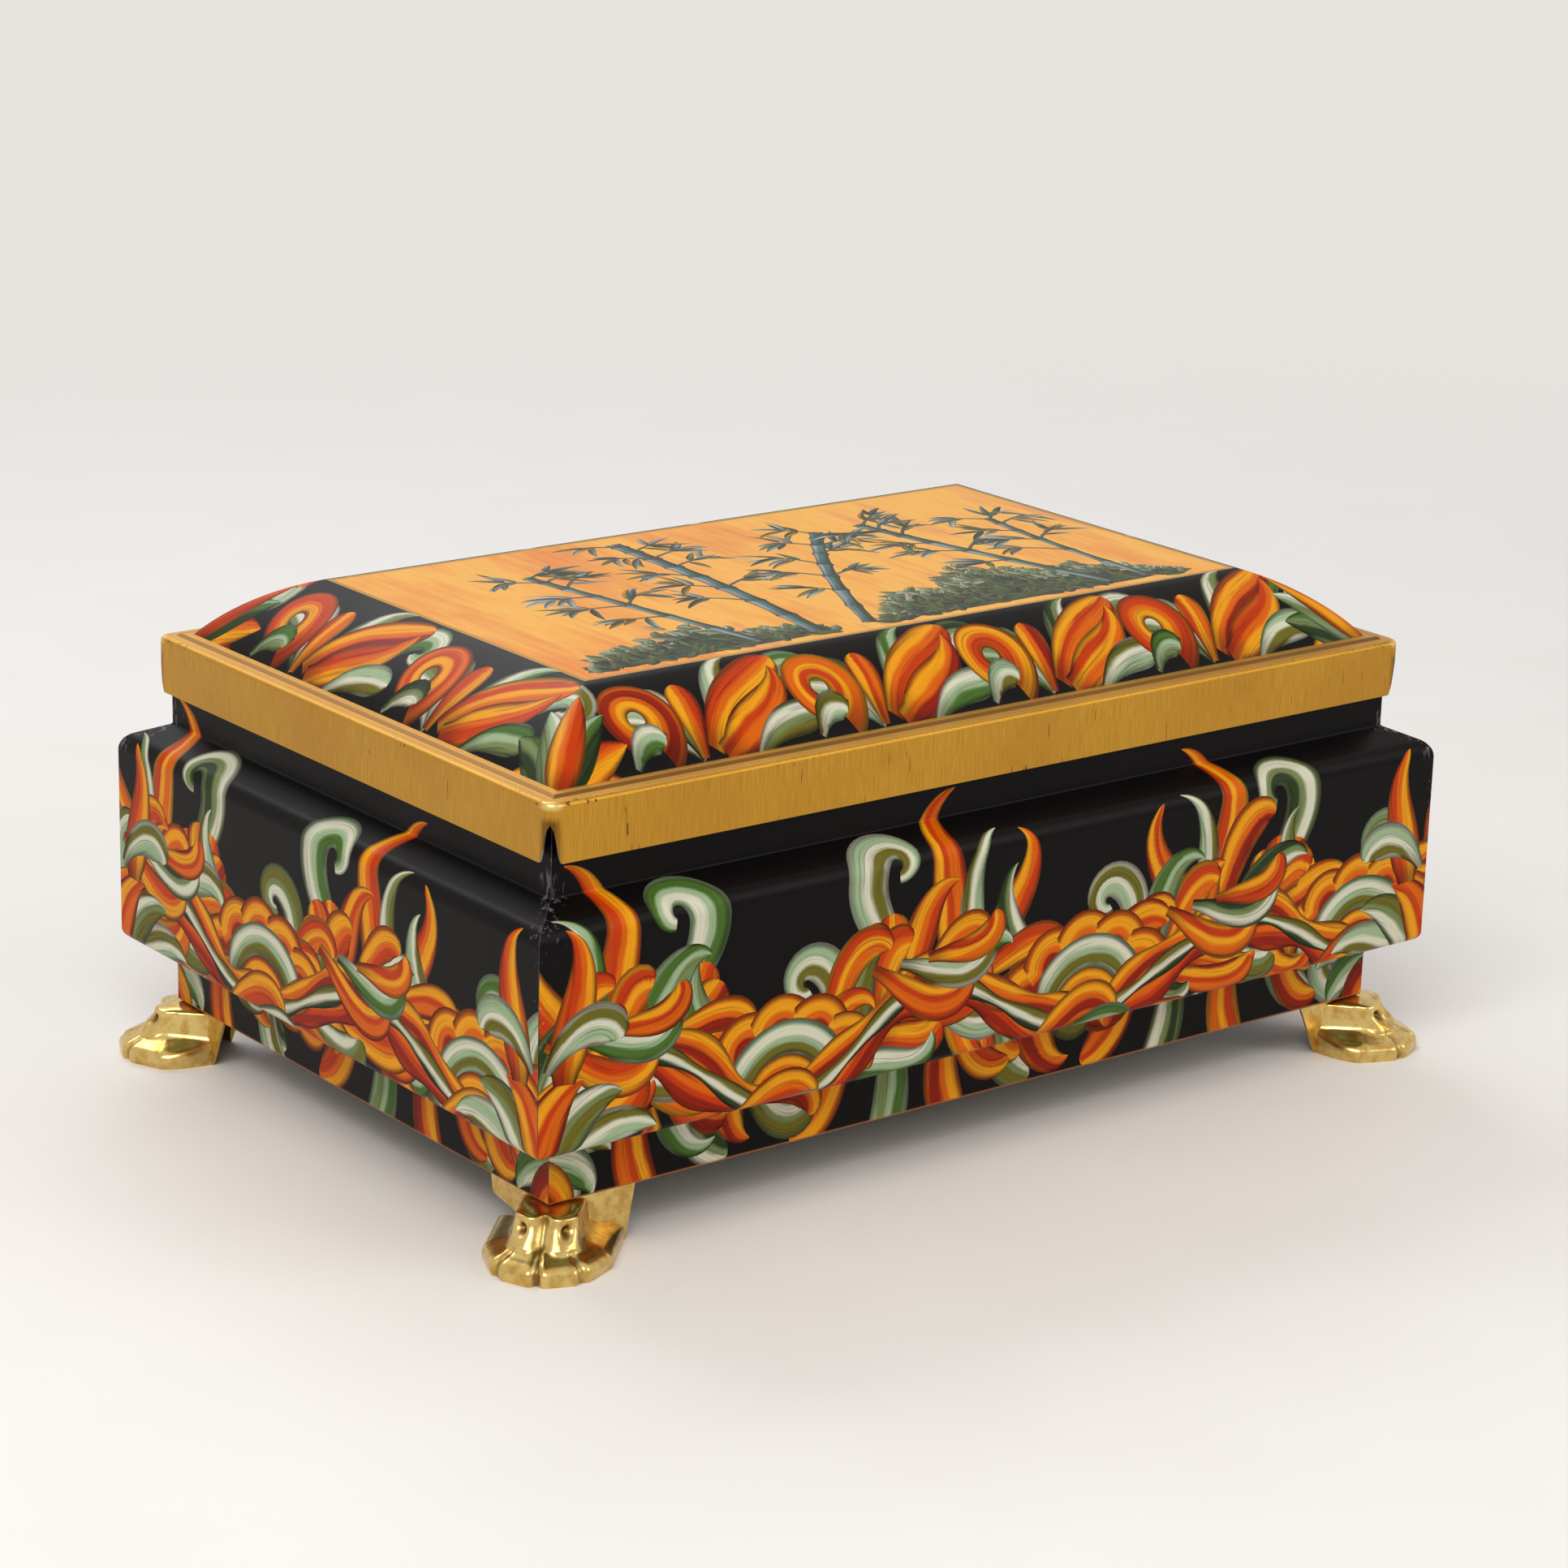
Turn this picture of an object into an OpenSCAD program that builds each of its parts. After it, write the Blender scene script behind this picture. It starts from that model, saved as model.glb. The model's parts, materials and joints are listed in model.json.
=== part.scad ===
// Small lidded tin trunk on four pressed paw feet. Millimetres, +Z up.
// The front is at -Y, the hinges are at +Y, and the feet stand on Z = 0.

/* [Sheet] */
// Thickness of the tin sheet of the lid, walls and base
sheet = 0.4; // [0.3:0.05:0.5]
// Gap of the upright seam between two walls
seam_gap = 0.12; // [0.05:0.01:0.2]

/* [Lid] */
// Length of the lid over its skirt
lid_l = 224; // [190:1:280]
// Width of the lid over its skirt
lid_w = 146; // [120:1:190]
// Height of the skirt
skirt_h = 12; // [11:0.5:16]
// Radius of the skirt's upright corners
skirt_corner_r = 2.6; // [1.5:0.1:4]
// Radius of the skirt's top edge
skirt_edge_r = 1; // [0.6:0.1:1.4]
// Width of the ledge between the skirt's face and the slopes
ledge_w = 5.8; // [5:0.1:8]
// Height of the step line on the ledge
ledge_step_h = 0.5; // [0.2:0.1:0.8]
// Distance of the step line from the skirt's face
ledge_step_at = 3.2; // [2.2:0.1:3.8]
// Width of the slopes, seen from above
slope_w = 19.8; // [14:0.2:26]
// Height of the flat top over the ledge
crown_h = 14; // [8:0.5:20]
// Bulge of the slopes over a straight line
slope_bulge = 1.7; // [0.4:0.1:2.2]
// Height of the notch in each skirt corner
notch_h = 8; // [4:0.5:9]
// Width of the notch across the corner, at the skirt's lower edge
notch_w = 4.6; // [2:0.2:6]
// Gap between the lid and the rim that carries it
seat_gap = 0.25; // [0.1:0.05:0.4]

/* [Body] */
// Distance of the neck's face behind the skirt's face
neck_inset = 2.3; // [2.2:0.1:3.4]
// Height of the neck that shows below the skirt
neck_h = 7.6; // [7:0.2:12]
// Reach of the panels beyond the skirt's face
panel_out = 6.2; // [4:0.2:10]
// Slope of the shoulder below the neck, in degrees
shoulder_pitch = 24; // [15:1:35]
// Radius that turns the shoulder down into the panel
shoulder_r = 4.2; // [2:0.2:5]
// Height of the upright panels
panel_h = 40.2; // [25:0.2:60]
// Slope of the underside below the panels, in degrees
ogee_pitch = 15; // [8:1:30]
// Radius under the panel's lower edge
ogee_round_r = 2.2; // [1:0.1:3]
// Radius that turns the underside down into the plinth
ogee_hollow_r = 3; // [1:0.1:4]
// Distance of the plinth's face behind the panel's face
plinth_inset = 8.7; // [7.4:0.1:12]
// Height of the plinth's upright face
plinth_h = 9.3; // [6:0.1:14]
// Width of the flange turned in at the bottom
flange_w = 4.2; // [3.6:0.2:6]
// Radius of the rolled rim
rim_r = 0.9; // [0.7:0.05:1.1]

/* [Base plate] */
// Height of the base plate's raised edge
base_edge_h = 3; // [2:0.5:6]
// Clearance between the base plate and the walls
base_fit = 0.2; // [0.1:0.05:0.3]

/* [Feet] */
// Height of the feet
foot_h = 11.7; // [9:0.1:16]
// Thickness of the pressed foot sheet
foot_sheet = 0.6; // [0.4:0.1:0.8]
// Reach of a paw beyond the plinth's corner, on the diagonal
paw_reach = 13.6; // [11:0.1:17]
// Half width of a paw at its sole
paw_half_w = 12.8; // [11:0.1:15]
// Half width of a paw's ankle
ankle_half_w = 6; // [5:0.1:7]
// Reach of a paw's ankle beyond the plinth's corner
ankle_reach = 6.4; // [5:0.1:8]
// Depth of the grooves between the toes
toe_groove = 0.9; // [0.3:0.1:1.2]
// Distance of the wings' faces behind the plinth's face
wing_inset = 1.2; // [1:0.1:1.6]
// Length of a wing past the paw, at its top
wing_tip = 1.2; // [0.4:0.1:3]
// Width of each tab
tab_w = 5; // [3:0.5:6]
// Distance of each tab's middle from the plinth's corner
tab_at = 14.5; // [13:0.5:16]
// Length of the folded end of each tab
tab_fold_l = 5; // [4:0.5:7]
// Clearance of the slots round the tabs
slot_fit = 0.2; // [0.1:0.05:0.4]

/* [Hinges] */
// Distance from the middle of the back to the middle of each hinge
hinge_x = 62; // [40:1:72]
// Width of a hinge
hinge_w = 24; // [18:1:32]
// Diameter of the hinge pin
pin_d = 1.2; // [1:0.1:1.4]
// Outer diameter of the knuckles
knuckle_d = 3; // [2.6:0.1:3]
// Radial clearance of the pin in the knuckles
pin_fit = 0.04; // [0.02:0.01:0.08]
// Gap between neighbouring knuckles, and between them and the pin's heads
knuckle_gap = 0.25; // [0.2:0.05:0.4]
// Gap round the knuckles: to the neck behind them and to the skirt above them
knuckle_clear = 0.3; // [0.25:0.05:0.4]
// Thickness of the leaves
leaf_t = 0.5; // [0.4:0.05:0.6]
// Height of the lid leaf above the skirt's lower edge
lid_leaf_h = 8; // [6:0.5:9]
// Height of the body leaf below the hinge axis
body_leaf_h = 5; // [4.6:0.1:5.2]
// Diameter of the rivet shanks
rivet_d = 1.2; // [1:0.1:1.4]
// Diameter of the rivet heads
rivet_head_d = 2.2; // [1.8:0.1:2.4]
// Height of the rivet heads
rivet_head_h = 0.4; // [0.3:0.05:0.5]
// Radial clearance of the rivets in their holes
rivet_fit = 0.05; // [0.02:0.01:0.1]

/* [Hidden] */
$fn = 48;

// Radius of the crease between the neck and the shoulder, and of the bend over the flange
crease_r = 0.6;

// Overshoot of the solids that cut others, and bite of a form into the one that it joins
over = 1;
bite = 0.1;

// Widths and heights of the shoulder and the underside, from their slopes and radii
shoulder_w = panel_out + neck_inset - crease_r;
shoulder_turn_w = shoulder_r * (1 - sin(shoulder_pitch));
shoulder_turn_h = shoulder_r * cos(shoulder_pitch);
shoulder_h = (shoulder_w - shoulder_turn_w) * tan(shoulder_pitch) + shoulder_turn_h;
ogee_round_w = ogee_round_r * (1 - sin(ogee_pitch));
ogee_round_h = ogee_round_r * cos(ogee_pitch);
ogee_hollow_w = ogee_hollow_r * (1 - sin(ogee_pitch));
ogee_hollow_h = ogee_hollow_r * cos(ogee_pitch);
ogee_flat_w = plinth_inset - ogee_round_w - ogee_hollow_w;
ogee_h = ogee_round_h + ogee_flat_w * tan(ogee_pitch) + ogee_hollow_h;

// Heights of the main levels above the ground
z_base = foot_h;
z_plinth_top = z_base + plinth_h;
z_panel_low = z_plinth_top + ogee_h;
z_panel_top = z_panel_low + panel_h;
z_neck_low = z_panel_top + shoulder_h;
z_skirt_low = z_neck_low + neck_h;
z_ledge = z_skirt_low + skirt_h;
z_crown = z_ledge + crown_h;
z_rim = z_ledge - sheet - seat_gap;

// Distance of the plinth's face behind the skirt's face, and half sizes over the plinth
plinth_at = plinth_inset - panel_out;
plinth_x = lid_l / 2 - plinth_at;
plinth_y = lid_w / 2 - plinth_at;

// Hinge axis, behind the neck and below the skirt
neck_y = lid_w / 2 - neck_inset;
axis_y = neck_y + knuckle_clear + knuckle_d / 2;
axis_z = z_skirt_low - knuckle_clear - knuckle_d / 2;
skirt_back_y = lid_w / 2 - sheet;
knuckle_w = (hinge_w - 2 * knuckle_gap) / 3;
rivet_margin = 0.1;
lid_rivet_z = z_skirt_low + lid_leaf_h * 0.6;
body_rivet_z = axis_z - body_leaf_h + rivet_head_d / 2 + rivet_margin;
rivet_x = hinge_w / 3;

function unit(v) = v / norm(v);
function backwards(path) = [for (i = [len(path) - 1 : -1 : 0]) path[i]];

// Points of an arc about a centre, from one angle to another
function arc(centre, r, from, to, steps) =
    [for (i = [0 : steps])
        let (a = from + (to - from) * i / steps)
        centre + r * [cos(a), sin(a)]];

// A path moved to its left by t, mitred at its corners
function beside(path, t) =
    let (last = len(path) - 1)
    [for (i = [0 : last])
        let (before = unit(path[max(i, 1)] - path[max(i, 1) - 1]),
             after = unit(path[min(i, last - 1) + 1] - path[min(i, last - 1)]),
             left = unit([-before[1] - after[1], before[0] + after[0]]))
        path[i] + left * t / (left * [-before[1], before[0]])];

// Rounded rectangle about the origin
module rounded_plate(x, y, r) {
    square([x - 2 * r, y], center = true);
    square([x, y - 2 * r], center = true);
    for (sx = [-1, 1], sy = [-1, 1])
        translate([sx * (x / 2 - r), sy * (y / 2 - r)])
            circle(r);
}

// Puts something made for the front left corner of the plinth at any corner
module at_corner(sx, sy) {
    mirror([sx > 0 ? 1 : 0, 0, 0])
        mirror([0, sy > 0 ? 1 : 0, 0])
            translate([-plinth_x, -plinth_y, 0])
                children();
}

// Arc of the slopes, as distance behind the skirt's face and height
slope_foot = [ledge_w, z_ledge + ledge_step_h];
slope_head = [ledge_w + slope_w, z_crown];
slope_chord = norm(slope_head - slope_foot);
slope_r = (slope_chord * slope_chord / 4 + slope_bulge * slope_bulge) / (2 * slope_bulge);
slope_half_angle = asin(slope_chord / 2 / slope_r);
slope_pitch = atan2(slope_head[1] - slope_foot[1], slope_w);
slope_centre = (slope_foot + slope_head) / 2
               + (slope_r - slope_bulge) * [sin(slope_pitch), -cos(slope_pitch)];

// One side of the lid at a depth t behind its outer face, from below the skirt up to the flat top
function lid_side(t) = concat(
    [[t, z_skirt_low - over]],
    arc([skirt_edge_r, z_ledge - skirt_edge_r], skirt_edge_r - t, 180, 90, 4),
    [[ledge_step_at + t, z_ledge - t],
     [ledge_step_at + ledge_step_h + t, z_ledge + ledge_step_h - t],
     [ledge_w + t / 2, z_ledge + ledge_step_h - t]],
    [for (p = arc(slope_centre, slope_r - t, 90 + slope_pitch + slope_half_angle,
                  90 + slope_pitch - slope_half_angle, 10))
        if (p[0] > ledge_w + t) p],
    [[slope_head[0] + t, z_crown - t]]);

// Section of the lid across a span
module lid_section(span, t) {
    half = [for (p = lid_side(t)) [p[0] - span / 2, p[1]]];
    polygon(concat(half, [for (p = backwards(half)) [-p[0], p[1]]]));
}

// Solid under the lid's face at a depth t, from a level up
module lid_block(t, low) {
    intersection() {
        rotate([90, 0, 0])
            linear_extrude(lid_w + 2 * over, center = true)
                lid_section(lid_l, t);
        rotate([90, 0, 90])
            linear_extrude(lid_l + 2 * over, center = true)
                lid_section(lid_w, t);
        translate([0, 0, low])
            linear_extrude(z_crown - low + over)
                rounded_plate(lid_l - 2 * t, lid_w - 2 * t, skirt_corner_r - t);
    }
}

// Wedge that opens the skirt's corner from below
module corner_notch() {
    side = notch_w / 2;
    rotate([90, 0, 90])
        linear_extrude(6 * skirt_corner_r, center = true)
            polygon([[-side, -over], [side, -over], [side, 0], [0, notch_h], [-side, 0]]);
}

// Places something at the rivets of both hinges, along Y from the origin
module at_rivets(y, z) {
    for (sx = [-1, 1], side = [-1, 1])
        translate([sx * hinge_x + side * rivet_x, y, z])
            rotate([-90, 0, 0])
                children();
}

module lid() {
    color("goldenrod")
    difference() {
        lid_block(0, z_skirt_low);
        lid_block(sheet, z_skirt_low - over / 2);
        for (sx = [-1, 1], sy = [-1, 1])
            translate([sx * lid_l / 2, sy * lid_w / 2, z_skirt_low])
                rotate(sx * sy * 45)
                    corner_notch();
        at_rivets(skirt_back_y - over, lid_rivet_z)
            cylinder(h = sheet + 2 * over, d = rivet_d + 2 * rivet_fit);
    }
}

// Outer face of a wall, from the rolled rim down to the edge of the bottom flange
wall_face = concat(
    arc([neck_inset + rim_r, z_rim - rim_r], rim_r, -60, 180, 12),
    arc([neck_inset - crease_r, z_neck_low + crease_r], crease_r, 0, -90 + shoulder_pitch, 3),
    arc([shoulder_r - panel_out, z_panel_top], shoulder_r, 90 + shoulder_pitch, 180, 7),
    arc([ogee_round_r - panel_out, z_panel_low], ogee_round_r, 180, 270 - ogee_pitch, 6),
    arc([plinth_at - ogee_hollow_r, z_plinth_top], ogee_hollow_r, 90 - ogee_pitch, 0, 6),
    arc([plinth_at + crease_r, z_base + crease_r], crease_r, 180, 270, 3),
    [[plinth_at + flange_w, z_base]]);

// A wall with its skirt line at -half_depth, mitred at both ends
module wall(length, half_depth) {
    end = length / 2 - seam_gap / sqrt(2);
    outer = 2 * panel_out;
    inner = plinth_at + flange_w + over;
    intersection() {
        translate([0, -half_depth, 0])
            rotate([90, 0, 90])
                linear_extrude(length + 2 * outer, center = true)
                    polygon(concat(wall_face, backwards(beside(wall_face, sheet))));
        translate([0, -half_depth, z_base - over])
            linear_extrude(z_rim - z_base + 2 * over)
                polygon([[-end - outer, -outer], [end + outer, -outer],
                         [end - inner, inner], [inner - end, inner]]);
    }
}

// Slots for the tabs of all four feet
module tab_slots() {
    slot_l = tab_w + 2 * slot_fit;
    slot_t = foot_sheet + 2 * slot_fit;
    for (sx = [-1, 1], sy = [-1, 1])
        at_corner(sx, sy) {
            translate([tab_at - slot_l / 2, wing_inset - slot_fit, z_base - over])
                cube([slot_l, slot_t, 4 * sheet + over]);
            translate([wing_inset - slot_fit, tab_at - slot_l / 2, z_base - over])
                cube([slot_t, slot_l, 4 * sheet + over]);
        }
}

module front_wall() {
    color("darkorange")
    difference() {
        wall(lid_l, lid_w / 2);
        tab_slots();
    }
}

module back_wall() {
    color("darkorange")
    difference() {
        rotate(180)
            wall(lid_l, lid_w / 2);
        tab_slots();
        at_rivets(neck_y - sheet - over, body_rivet_z)
            cylinder(h = sheet + 2 * over, d = rivet_d + 2 * rivet_fit);
    }
}

module left_wall() {
    color("olivedrab")
    difference() {
        rotate(-90)
            wall(lid_w, lid_l / 2);
        tab_slots();
    }
}

module right_wall() {
    color("olivedrab")
    difference() {
        rotate(90)
            wall(lid_w, lid_l / 2);
        tab_slots();
    }
}

// Tray with a raised edge that lies on the flanges
module base_plate() {
    across = [2 * (plinth_x - sheet - base_fit), 2 * (plinth_y - sheet - base_fit)];
    color("dimgray")
    difference() {
        translate([-across[0] / 2, -across[1] / 2, z_base + sheet])
            cube([across[0], across[1], base_edge_h]);
        translate([sheet - across[0] / 2, sheet - across[1] / 2, z_base + 2 * sheet])
            cube([across[0] - 2 * sheet, across[1] - 2 * sheet, base_edge_h]);
        tab_slots();
    }
}

// Spread of a paw at a share of its height: 0 is the ankle, 1 the sole
paw_shape = [[0, 0.95], [0.11, 1], [0.22, 0.98], [0.32, 0.82], [0.42, 0.54], [0.53, 0.28],
             [0.66, 0.12], [0.8, 0.03], [0.9, -0.1], [0.96, -0.4], [1, -0.8]];
toe_steps = 8;
toes = 4;
side_steps = 2;
least_w = 0.3;

// Half width and reach of a paw at a spread, with its own values for the ankle's round top
function paw_w(spread) = spread < 0 ? ankle_half_w * (1 + spread)
                                    : ankle_half_w + (paw_half_w - ankle_half_w) * spread;
function paw_f(spread) = spread < 0 ? ankle_reach + (ankle_reach + wing_inset * sqrt(2)) * spread
                                    : ankle_reach + (paw_reach - ankle_reach) * spread;

// From the paw's own diagonal frame to the corner's frame
function from_diagonal(p) = [(p[1] - p[0]) / sqrt(2), -(p[0] + p[1]) / sqrt(2)];

// One level of the foot at a depth t behind its face, from wing end to wing end
function paw_level(share, spread, t) =
    let (w = max(paw_w(spread) - t, least_w), f = paw_f(spread) - t,
         front = f - w, wall_u = -w - (wing_inset + t) * sqrt(2),
         groove = toe_groove * max(0, min(1, 2 * spread)),
         tip = (2 * paw_half_w + wing_inset * sqrt(2)) / sqrt(2) + wing_tip * share,
         side = [for (i = [0 : side_steps - 1]) let (k = i / side_steps) [wall_u + (front - wall_u) * k, -w]],
         toe_row = [for (i = [0 : toes * toe_steps])
             let (a = -90 + 180 * i / (toes * toe_steps),
                  dent = groove * pow(abs(cos(toes * (a + 90))), 6) * cos(a))
             [front + (w - dent) * cos(a), (w - dent) * sin(a)]])
    concat(
        [[wing_inset + t, tip]],
        [for (p = side) from_diagonal(p)],
        [for (p = toe_row) from_diagonal(p)],
        [for (p = backwards(side)) from_diagonal([p[0], -p[1]])],
        [[tip, wing_inset + t]]);

// The bent and pressed sheet of a foot at the front left corner
module foot_sheet_form() {
    levels = len(paw_shape);
    across = len(paw_level(0, 0, 0));
    points = [for (t = [0, foot_sheet], row = paw_shape, p = paw_level(row[0], row[1], t))
                 [p[0], p[1], row[0] * foot_h]];
    layer = levels * across;
    function at(side, level, i) = side * layer + level * across + i;
    skins = [for (side = [0, 1], level = [0 : levels - 2], i = [0 : across - 2])
                let (a = at(side, level, i), b = at(side, level, i + 1),
                     c = at(side, level + 1, i + 1), d = at(side, level + 1, i))
                each side == 1 ? [[a, b, c], [a, c, d]] : [[a, c, b], [a, d, c]]];
    rims = [for (i = [0 : across - 2], level = [0, levels - 1])
               let (a = at(0, level, i), b = at(0, level, i + 1),
                    c = at(1, level, i + 1), d = at(1, level, i))
               each level == 0 ? [[a, c, d], [a, b, c]] : [[a, c, b], [a, d, c]]];
    ends = [for (level = [0 : levels - 2], i = [0, across - 1])
               let (a = at(0, level, i), b = at(0, level + 1, i),
                    c = at(1, level + 1, i), d = at(1, level, i))
               each i > 0 ? [[a, b, c], [a, c, d]] : [[a, c, b], [a, d, c]]];
    polyhedron(points, concat(skins, rims, ends));
}

// A tab that rises from the front wing and is folded over inside
module foot_tab() {
    play = bite / 2;
    translate([tab_at - tab_w / 2, wing_inset + play, z_base - over])
        cube([tab_w, foot_sheet - 2 * play, over + 2 * sheet + foot_sheet]);
    translate([tab_at - tab_w / 2, wing_inset + play, z_base + 2 * sheet])
        cube([tab_w, tab_fold_l, foot_sheet]);
}

module foot(sx, sy) {
    color("gold")
    at_corner(sx, sy) {
        foot_sheet_form();
        foot_tab();
        mirror([1, -1, 0])
            foot_tab();
    }
}

// A tube along X that starts at x and has the pin's bore
module knuckle(x, length) {
    translate([x, axis_y, axis_z])
        rotate([0, 90, 0])
            difference() {
                cylinder(h = length, d = knuckle_d);
                translate([0, 0, -over])
                    cylinder(h = length + 2 * over, d = pin_d + 2 * pin_fit);
            }
}

module lid_hinge_leaf(sx) {
    x = sx * hinge_x - hinge_w / 2;
    color("silver")
    difference() {
        union() {
            difference() {
                translate([x, skirt_back_y - leaf_t, axis_z])
                    cube([hinge_w, leaf_t, z_skirt_low + lid_leaf_h - axis_z]);
                translate([x - over, axis_y, axis_z])
                    rotate([0, 90, 0])
                        cylinder(h = hinge_w + 2 * over, d = knuckle_d - 2 * bite);
            }
            knuckle(x, knuckle_w);
            knuckle(x + hinge_w - knuckle_w, knuckle_w);
        }
        translate([x + knuckle_w, axis_y - knuckle_d, axis_z - knuckle_d])
            cube([hinge_w - 2 * knuckle_w, 2 * knuckle_d, knuckle_d + z_skirt_low - axis_z]);
        at_rivets(skirt_back_y - leaf_t - over, lid_rivet_z)
            cylinder(h = leaf_t + 2 * over, d = rivet_d + 2 * rivet_fit);
    }
}

module body_hinge_leaf(sx) {
    x = sx * hinge_x - hinge_w / 2;
    middle = x + knuckle_w + knuckle_gap;
    side_top = axis_z - knuckle_d / 2 - knuckle_clear;
    color("silver")
    difference() {
        union() {
            translate([x, neck_y, axis_z - body_leaf_h])
                cube([hinge_w, leaf_t, side_top - axis_z + body_leaf_h]);
            difference() {
                translate([middle, neck_y, side_top - leaf_t])
                    cube([knuckle_w, knuckle_clear + knuckle_d / 2, axis_z - side_top + leaf_t]);
                translate([middle - over, axis_y, axis_z])
                    rotate([0, 90, 0])
                        cylinder(h = knuckle_w + 2 * over, d = knuckle_d - 2 * bite);
                translate([middle - over, neck_y + leaf_t, side_top - over])
                    cube([knuckle_w + 2 * over, knuckle_d, axis_z - side_top - knuckle_d / 4 + over]);
            }
            knuckle(middle, knuckle_w);
        }
        at_rivets(neck_y - over, body_rivet_z)
            cylinder(h = leaf_t + 2 * over, d = rivet_d + 2 * rivet_fit);
    }
}

// Headed wire that joins the two leaves of a hinge
module hinge_pin(sx) {
    head_t = 0.5;
    stem = hinge_w + 2 * knuckle_gap;
    color("gray")
    translate([sx * hinge_x - stem / 2, axis_y, axis_z])
        rotate([0, 90, 0]) {
            cylinder(h = stem, d = pin_d);
            for (end = [-head_t, stem])
                translate([0, 0, end])
                    cylinder(h = head_t, d = (pin_d + knuckle_d) / 2);
        }
}

// A rivet along Z that grips from 0 to a height
module rivet(grip) {
    cylinder(h = grip, d = rivet_d);
    translate([0, 0, -rivet_head_h])
        cylinder(h = rivet_head_h, d1 = rivet_head_d * 0.6, d2 = rivet_head_d);
    translate([0, 0, grip])
        cylinder(h = rivet_head_h, d1 = rivet_head_d, d2 = rivet_head_d * 0.6);
}

module lid_leaf_rivets() {
    color("silver")
        at_rivets(skirt_back_y - leaf_t, lid_rivet_z)
            rivet(leaf_t + sheet);
}

module body_leaf_rivets() {
    color("silver")
        at_rivets(neck_y - sheet, body_rivet_z)
            rivet(leaf_t + sheet);
}

lid();
front_wall();
back_wall();
left_wall();
right_wall();
base_plate();
foot(-1, -1);  // foot_front_left
foot(1, -1);  // foot_front_right
foot(-1, 1);  // foot_back_left
foot(1, 1);  // foot_back_right
lid_hinge_leaf(-1);  // lid_hinge_leaf_left
lid_hinge_leaf(1);  // lid_hinge_leaf_right
body_hinge_leaf(-1);  // body_hinge_leaf_left
body_hinge_leaf(1);  // body_hinge_leaf_right
hinge_pin(-1);  // hinge_pin_left
hinge_pin(1);  // hinge_pin_right
lid_leaf_rivets();
body_leaf_rivets();
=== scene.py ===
import json
import math
import random

import bpy
import numpy as np
from mathutils import Matrix, Vector, geometry

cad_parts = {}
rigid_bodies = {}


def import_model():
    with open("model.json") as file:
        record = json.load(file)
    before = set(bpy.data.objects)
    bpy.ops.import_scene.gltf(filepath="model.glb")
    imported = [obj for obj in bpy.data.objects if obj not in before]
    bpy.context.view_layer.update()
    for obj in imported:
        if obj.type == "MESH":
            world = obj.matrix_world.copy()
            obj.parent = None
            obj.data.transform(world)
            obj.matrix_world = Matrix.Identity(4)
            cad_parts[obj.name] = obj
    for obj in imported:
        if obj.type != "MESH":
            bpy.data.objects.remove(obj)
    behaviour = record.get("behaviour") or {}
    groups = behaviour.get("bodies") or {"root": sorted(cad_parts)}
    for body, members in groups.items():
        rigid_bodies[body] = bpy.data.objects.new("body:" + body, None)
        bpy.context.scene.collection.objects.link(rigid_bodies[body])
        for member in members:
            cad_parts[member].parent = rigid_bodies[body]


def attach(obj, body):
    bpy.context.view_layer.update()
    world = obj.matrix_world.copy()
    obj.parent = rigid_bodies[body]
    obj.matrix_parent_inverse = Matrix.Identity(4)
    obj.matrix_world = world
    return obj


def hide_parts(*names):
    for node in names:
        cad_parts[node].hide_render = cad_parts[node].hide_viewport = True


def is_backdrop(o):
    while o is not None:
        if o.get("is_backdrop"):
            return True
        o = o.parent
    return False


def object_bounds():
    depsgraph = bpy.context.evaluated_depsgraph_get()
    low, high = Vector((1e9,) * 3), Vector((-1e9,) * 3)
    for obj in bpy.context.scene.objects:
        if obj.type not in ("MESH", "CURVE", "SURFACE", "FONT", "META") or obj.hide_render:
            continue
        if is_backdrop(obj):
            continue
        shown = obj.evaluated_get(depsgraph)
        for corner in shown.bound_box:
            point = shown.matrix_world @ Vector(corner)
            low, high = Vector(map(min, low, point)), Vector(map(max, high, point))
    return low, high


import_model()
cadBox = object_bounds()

mm = 0.001


def tell(text):
    print("tin trunk:", text)


# Shader helpers: a number socket with arithmetic, and one method for every other node

class Num:
    def __init__(self, graph, socket):
        self.graph, self.socket = graph, socket

    def math(self, operation, *others):
        return self.graph.node("Math", {"operation": operation}, self, *others).number()

    def __add__(self, other): return self.math("ADD", other)
    def __radd__(self, other): return self.math("ADD", other)
    def __sub__(self, other): return self.math("SUBTRACT", other)
    def __rsub__(self, other): return self.graph.node("Math", {"operation": "SUBTRACT"}, other, self).number()
    def __mul__(self, other): return self.math("MULTIPLY", other)
    def __rmul__(self, other): return self.math("MULTIPLY", other)
    def __truediv__(self, other): return self.math("DIVIDE", other)
    def __abs__(self): return self.math("ABSOLUTE")

    def ramp(self, low, high):  # smooth 0..1 between two values
        return self.graph.node("MapRange", {"interpolation_type": "SMOOTHSTEP"}, self, low, high, 0.0, 1.0).number()


class NodeBox:
    def __init__(self, graph, node):
        self.graph, self.node = graph, node

    def number(self, name=0):
        return Num(self.graph, self.node.outputs[name])

    def out(self, name=0):
        return self.node.outputs[name]


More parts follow.
